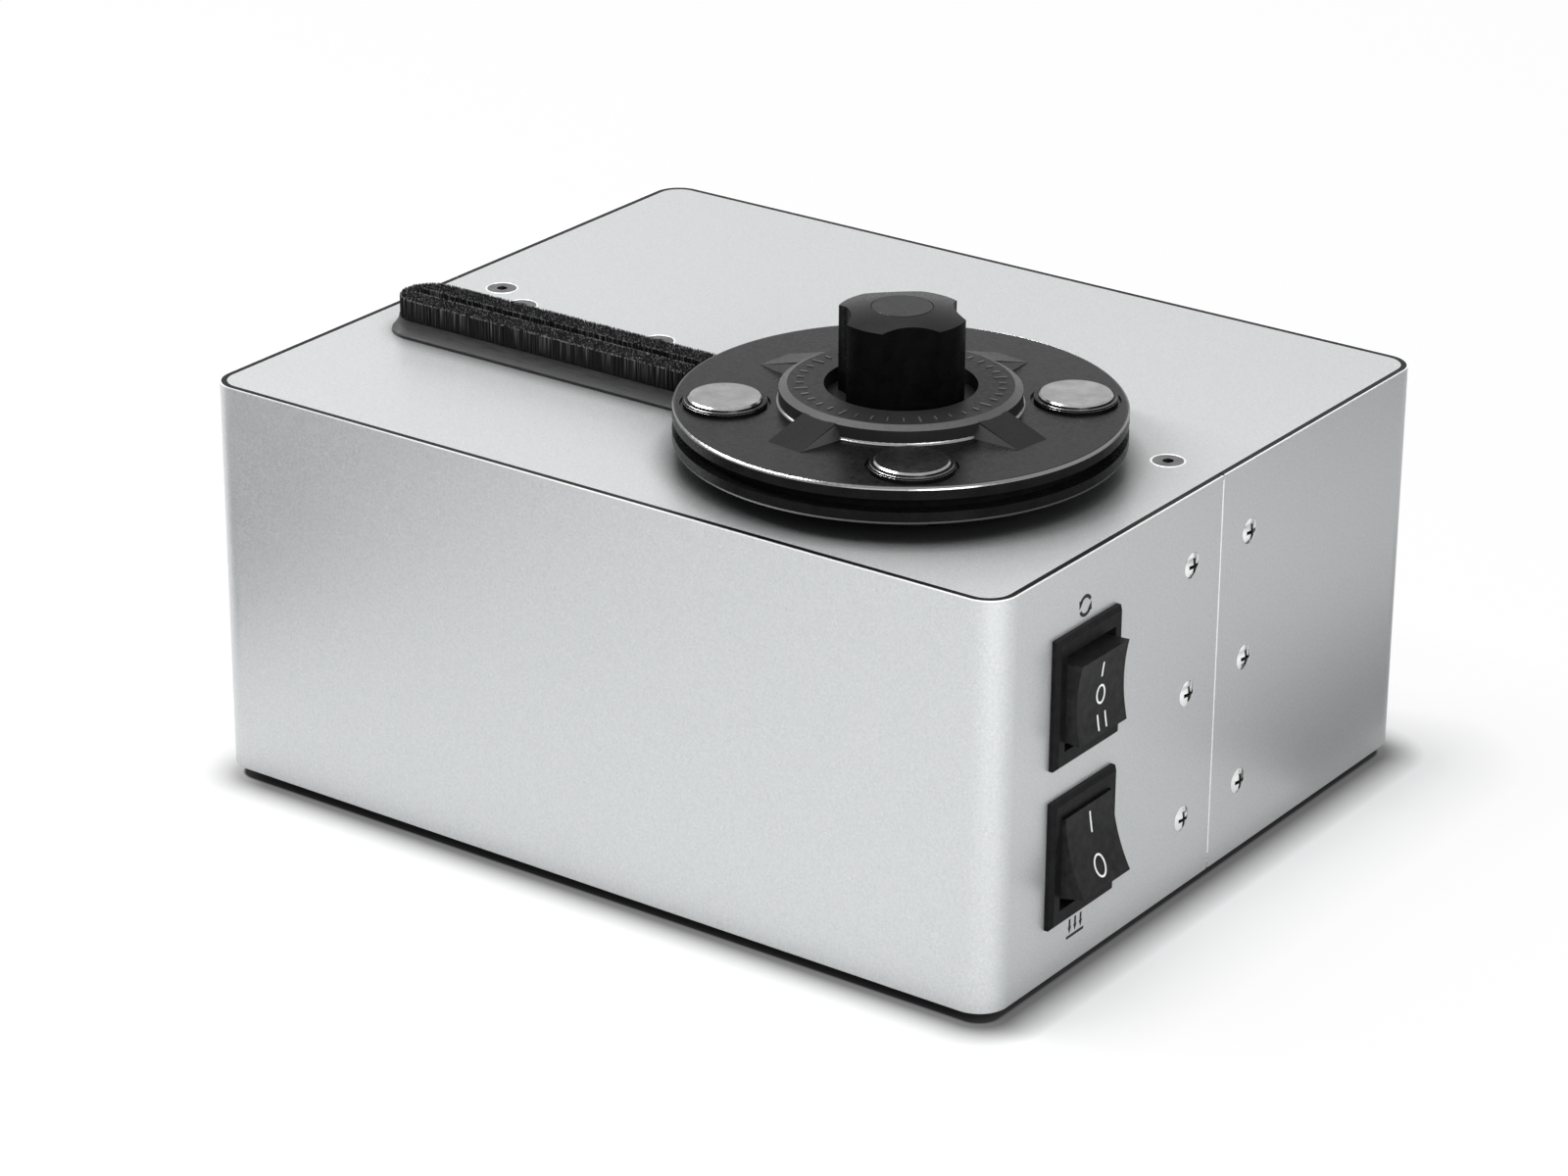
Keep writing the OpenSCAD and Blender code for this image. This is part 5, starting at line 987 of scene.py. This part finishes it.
def level_sheet(name, corners, height, material):
    (x0, y0), (x1, y1) = corners
    mesh = bpy.data.meshes.new(name)
    mesh.from_pydata([(x0, y0, height), (x1, y0, height), (x1, y1, height), (x0, y1, height)], [],
                     [(0, 1, 2, 3)])
    mesh.materials.append(material)
    sheet = bpy.data.objects.new(name, mesh)
    bpy.context.scene.collection.objects.link(sheet)
    return sheet


def floor_share(t):
    """The share of plain white in the floor as the camera sees it, shaped as a painted shade round
    the casing.
    """
    right = case_hi.x
    slower = t.span(t.axes(t.coords())[0], right - 20 * MM, right + 8 * MM, 1.0, SHADE_SIDE)
    away = t.math("MULTIPLY", outline_distance(t, SHADE_SHIFT), slower)
    share = t.ramp(t.span(away, SHADE_FROM * MM, SHADE_TO * MM, 0.0, 1.0),
                   [((d - SHADE_FROM) / (SHADE_TO - SHADE_FROM), grey(w)) for d, w in FLOOR_WHITE])
    return t.math("MULTIPLY", share, t.span(outline_distance(t), *UNDER_CASING_SHADE, 0.0, 1.0))


def floor_material():
    """A pale floor under its own shadow and a painted contact shadow, with plain white mixed in
    for the camera, less of it near the casing.
    """
    t = Tree("floor_white")
    t.set(Roughness=0.9)
    # Painted contact shadow: the floor's colour darkens towards the casing
    tone = t.span(outline_distance(t), 0.0, CONTACT_SHADOW_FADE, CONTACT_SHADOW_TONE, FLOOR_TONE)
    t.link(t.mix(tone, grey(0.0), WHITE), t.shader.inputs["Base Color"])
    glow = t.add("Emission")
    glow.inputs["Strength"].default_value = 1.0
    seen = t.add("LightPath").outputs["Is Camera Ray"]
    mix = t.add("MixShader")
    t.link(t.math("MULTIPLY", seen, floor_share(t)), mix.inputs[0])
    t.link(t.shader.outputs[0], mix.inputs[1])
    t.link(glow.outputs[0], mix.inputs[2])
    t.link(mix.outputs[0], t.nodes["Material Output"].inputs["Surface"])
    return t.mat


def make_floor():
    corners = ((-FLOOR_HALF, -FLOOR_HALF), (FLOOR_HALF, FLOOR_HALF))
    floor = level_sheet("floor", corners, 0.0, floor_material())


def shade_card(name, corners):
    """A black card lying on the floor in place of shade there, seen only where the casing's walls
    mirror it, as painted shade in their reflections.
    """
    card = level_sheet(name, corners, CARD_HEIGHT, MATERIALS["black_paint"])
    card.visible_camera = False
    card.visible_shadow = False
    card.visible_diffuse = False


def make_world():
    """Soft light all round, and plain white for the rays that see or mirror the backdrop."""
    world = bpy.data.worlds.new("studio")
    bpy.context.scene.world = world
    world.use_nodes = True
    tree = world.node_tree
    tree.nodes.clear()
    path = tree.nodes.new("ShaderNodeLightPath")
    seen = path.outputs["Is Camera Ray"]
    for ray in ("Is Transmission Ray", "Is Glossy Ray"):
        either = tree.nodes.new("ShaderNodeMath")
        either.operation = "MAXIMUM"
        tree.links.new(seen, either.inputs[0])
        tree.links.new(path.outputs[ray], either.inputs[1])
        seen = either.outputs[0]
    mix = tree.nodes.new("ShaderNodeMixShader")
    tree.links.new(seen, mix.inputs[0])
    for socket, tone, strength in ((1, WORLD_TONE, WORLD_LIGHT), (2, WHITE, 1.0)):
        sky = tree.nodes.new("ShaderNodeBackground")
        sky.inputs["Color"].default_value = (*tone, 1.0)
        sky.inputs["Strength"].default_value = strength
        tree.links.new(sky.outputs[0], mix.inputs[socket])
    out = tree.nodes.new("ShaderNodeOutputWorld")
    tree.links.new(mix.outputs[0], out.inputs[0])


def area_light(name, place, size, power, along):
    """A softbox aimed at the machine, with its long side along a direction."""
    data = bpy.data.lights.new(name, "AREA")
    data.shape = "RECTANGLE"
    data.size, data.size_y = size
    data.energy = power
    light = bpy.data.objects.new(name, data)
    back = (Vector(place) - Vector(LIGHTS_AIM)).normalized()
    side = Vector(along).cross(back).normalized()
    matrix = Matrix((side, back.cross(side), back)).transposed().to_4x4()
    matrix.translation = place
    light.matrix_world = matrix
    light.visible_camera = False
    bpy.context.scene.collection.objects.link(light)


def make_camera():
    """The camera at the photograph's viewpoint."""
    azimuth, elevation, roll = (math.radians(a) for a in (AZIMUTH, ELEVATION, ROLL))
    back = Vector((math.sin(azimuth) * math.cos(elevation),
                   -math.cos(azimuth) * math.cos(elevation), math.sin(elevation)))
    flat_right = (-back).cross(Vector(UP)).normalized()
    flat_up = flat_right.cross(-back)
    right = math.cos(roll) * flat_right + math.sin(roll) * flat_up
    up = -math.sin(roll) * flat_right + math.cos(roll) * flat_up
    middle = Vector((0, 0, (case_lo.z + case_hi.z) / 2))
    place = back * PLACE_BACK + right * PLACE_SIDE + up * PLACE_LIFT
    data = bpy.data.cameras.new("camera")
    data.sensor_fit = "HORIZONTAL"
    data.sensor_width = 36.0
    data.lens = LENS
    data.clip_end = 20
    camera = bpy.data.objects.new("camera", data)
    matrix = Matrix((right, up, back)).transposed().to_4x4()
    matrix.translation = middle + CASE_WIDTH * place
    camera.matrix_world = matrix
    bpy.context.scene.collection.objects.link(camera)
    bpy.context.scene.camera = camera


dress_frame()
make_bristles()
motor_marks()
vacuum_marks()
turning_mark()
suction_mark()
hub_ticks()
ring_fillet()
rim_line()
collar_lips()
spoke_walls()
countersink_rings()
seam_strip(1)
seam_strip(-1)

make_floor()
# Dark cards that stand in for shade on the floor in the walls' reflections
for card, corners in SHADE_CARDS.items():
    shade_card(card, corners)
make_world()
for name, (place, size, power, along) in LIGHTS.items():
    area_light(name, place, size, power, along)
make_camera()
bpy.context.scene.view_settings.view_transform = "Standard"
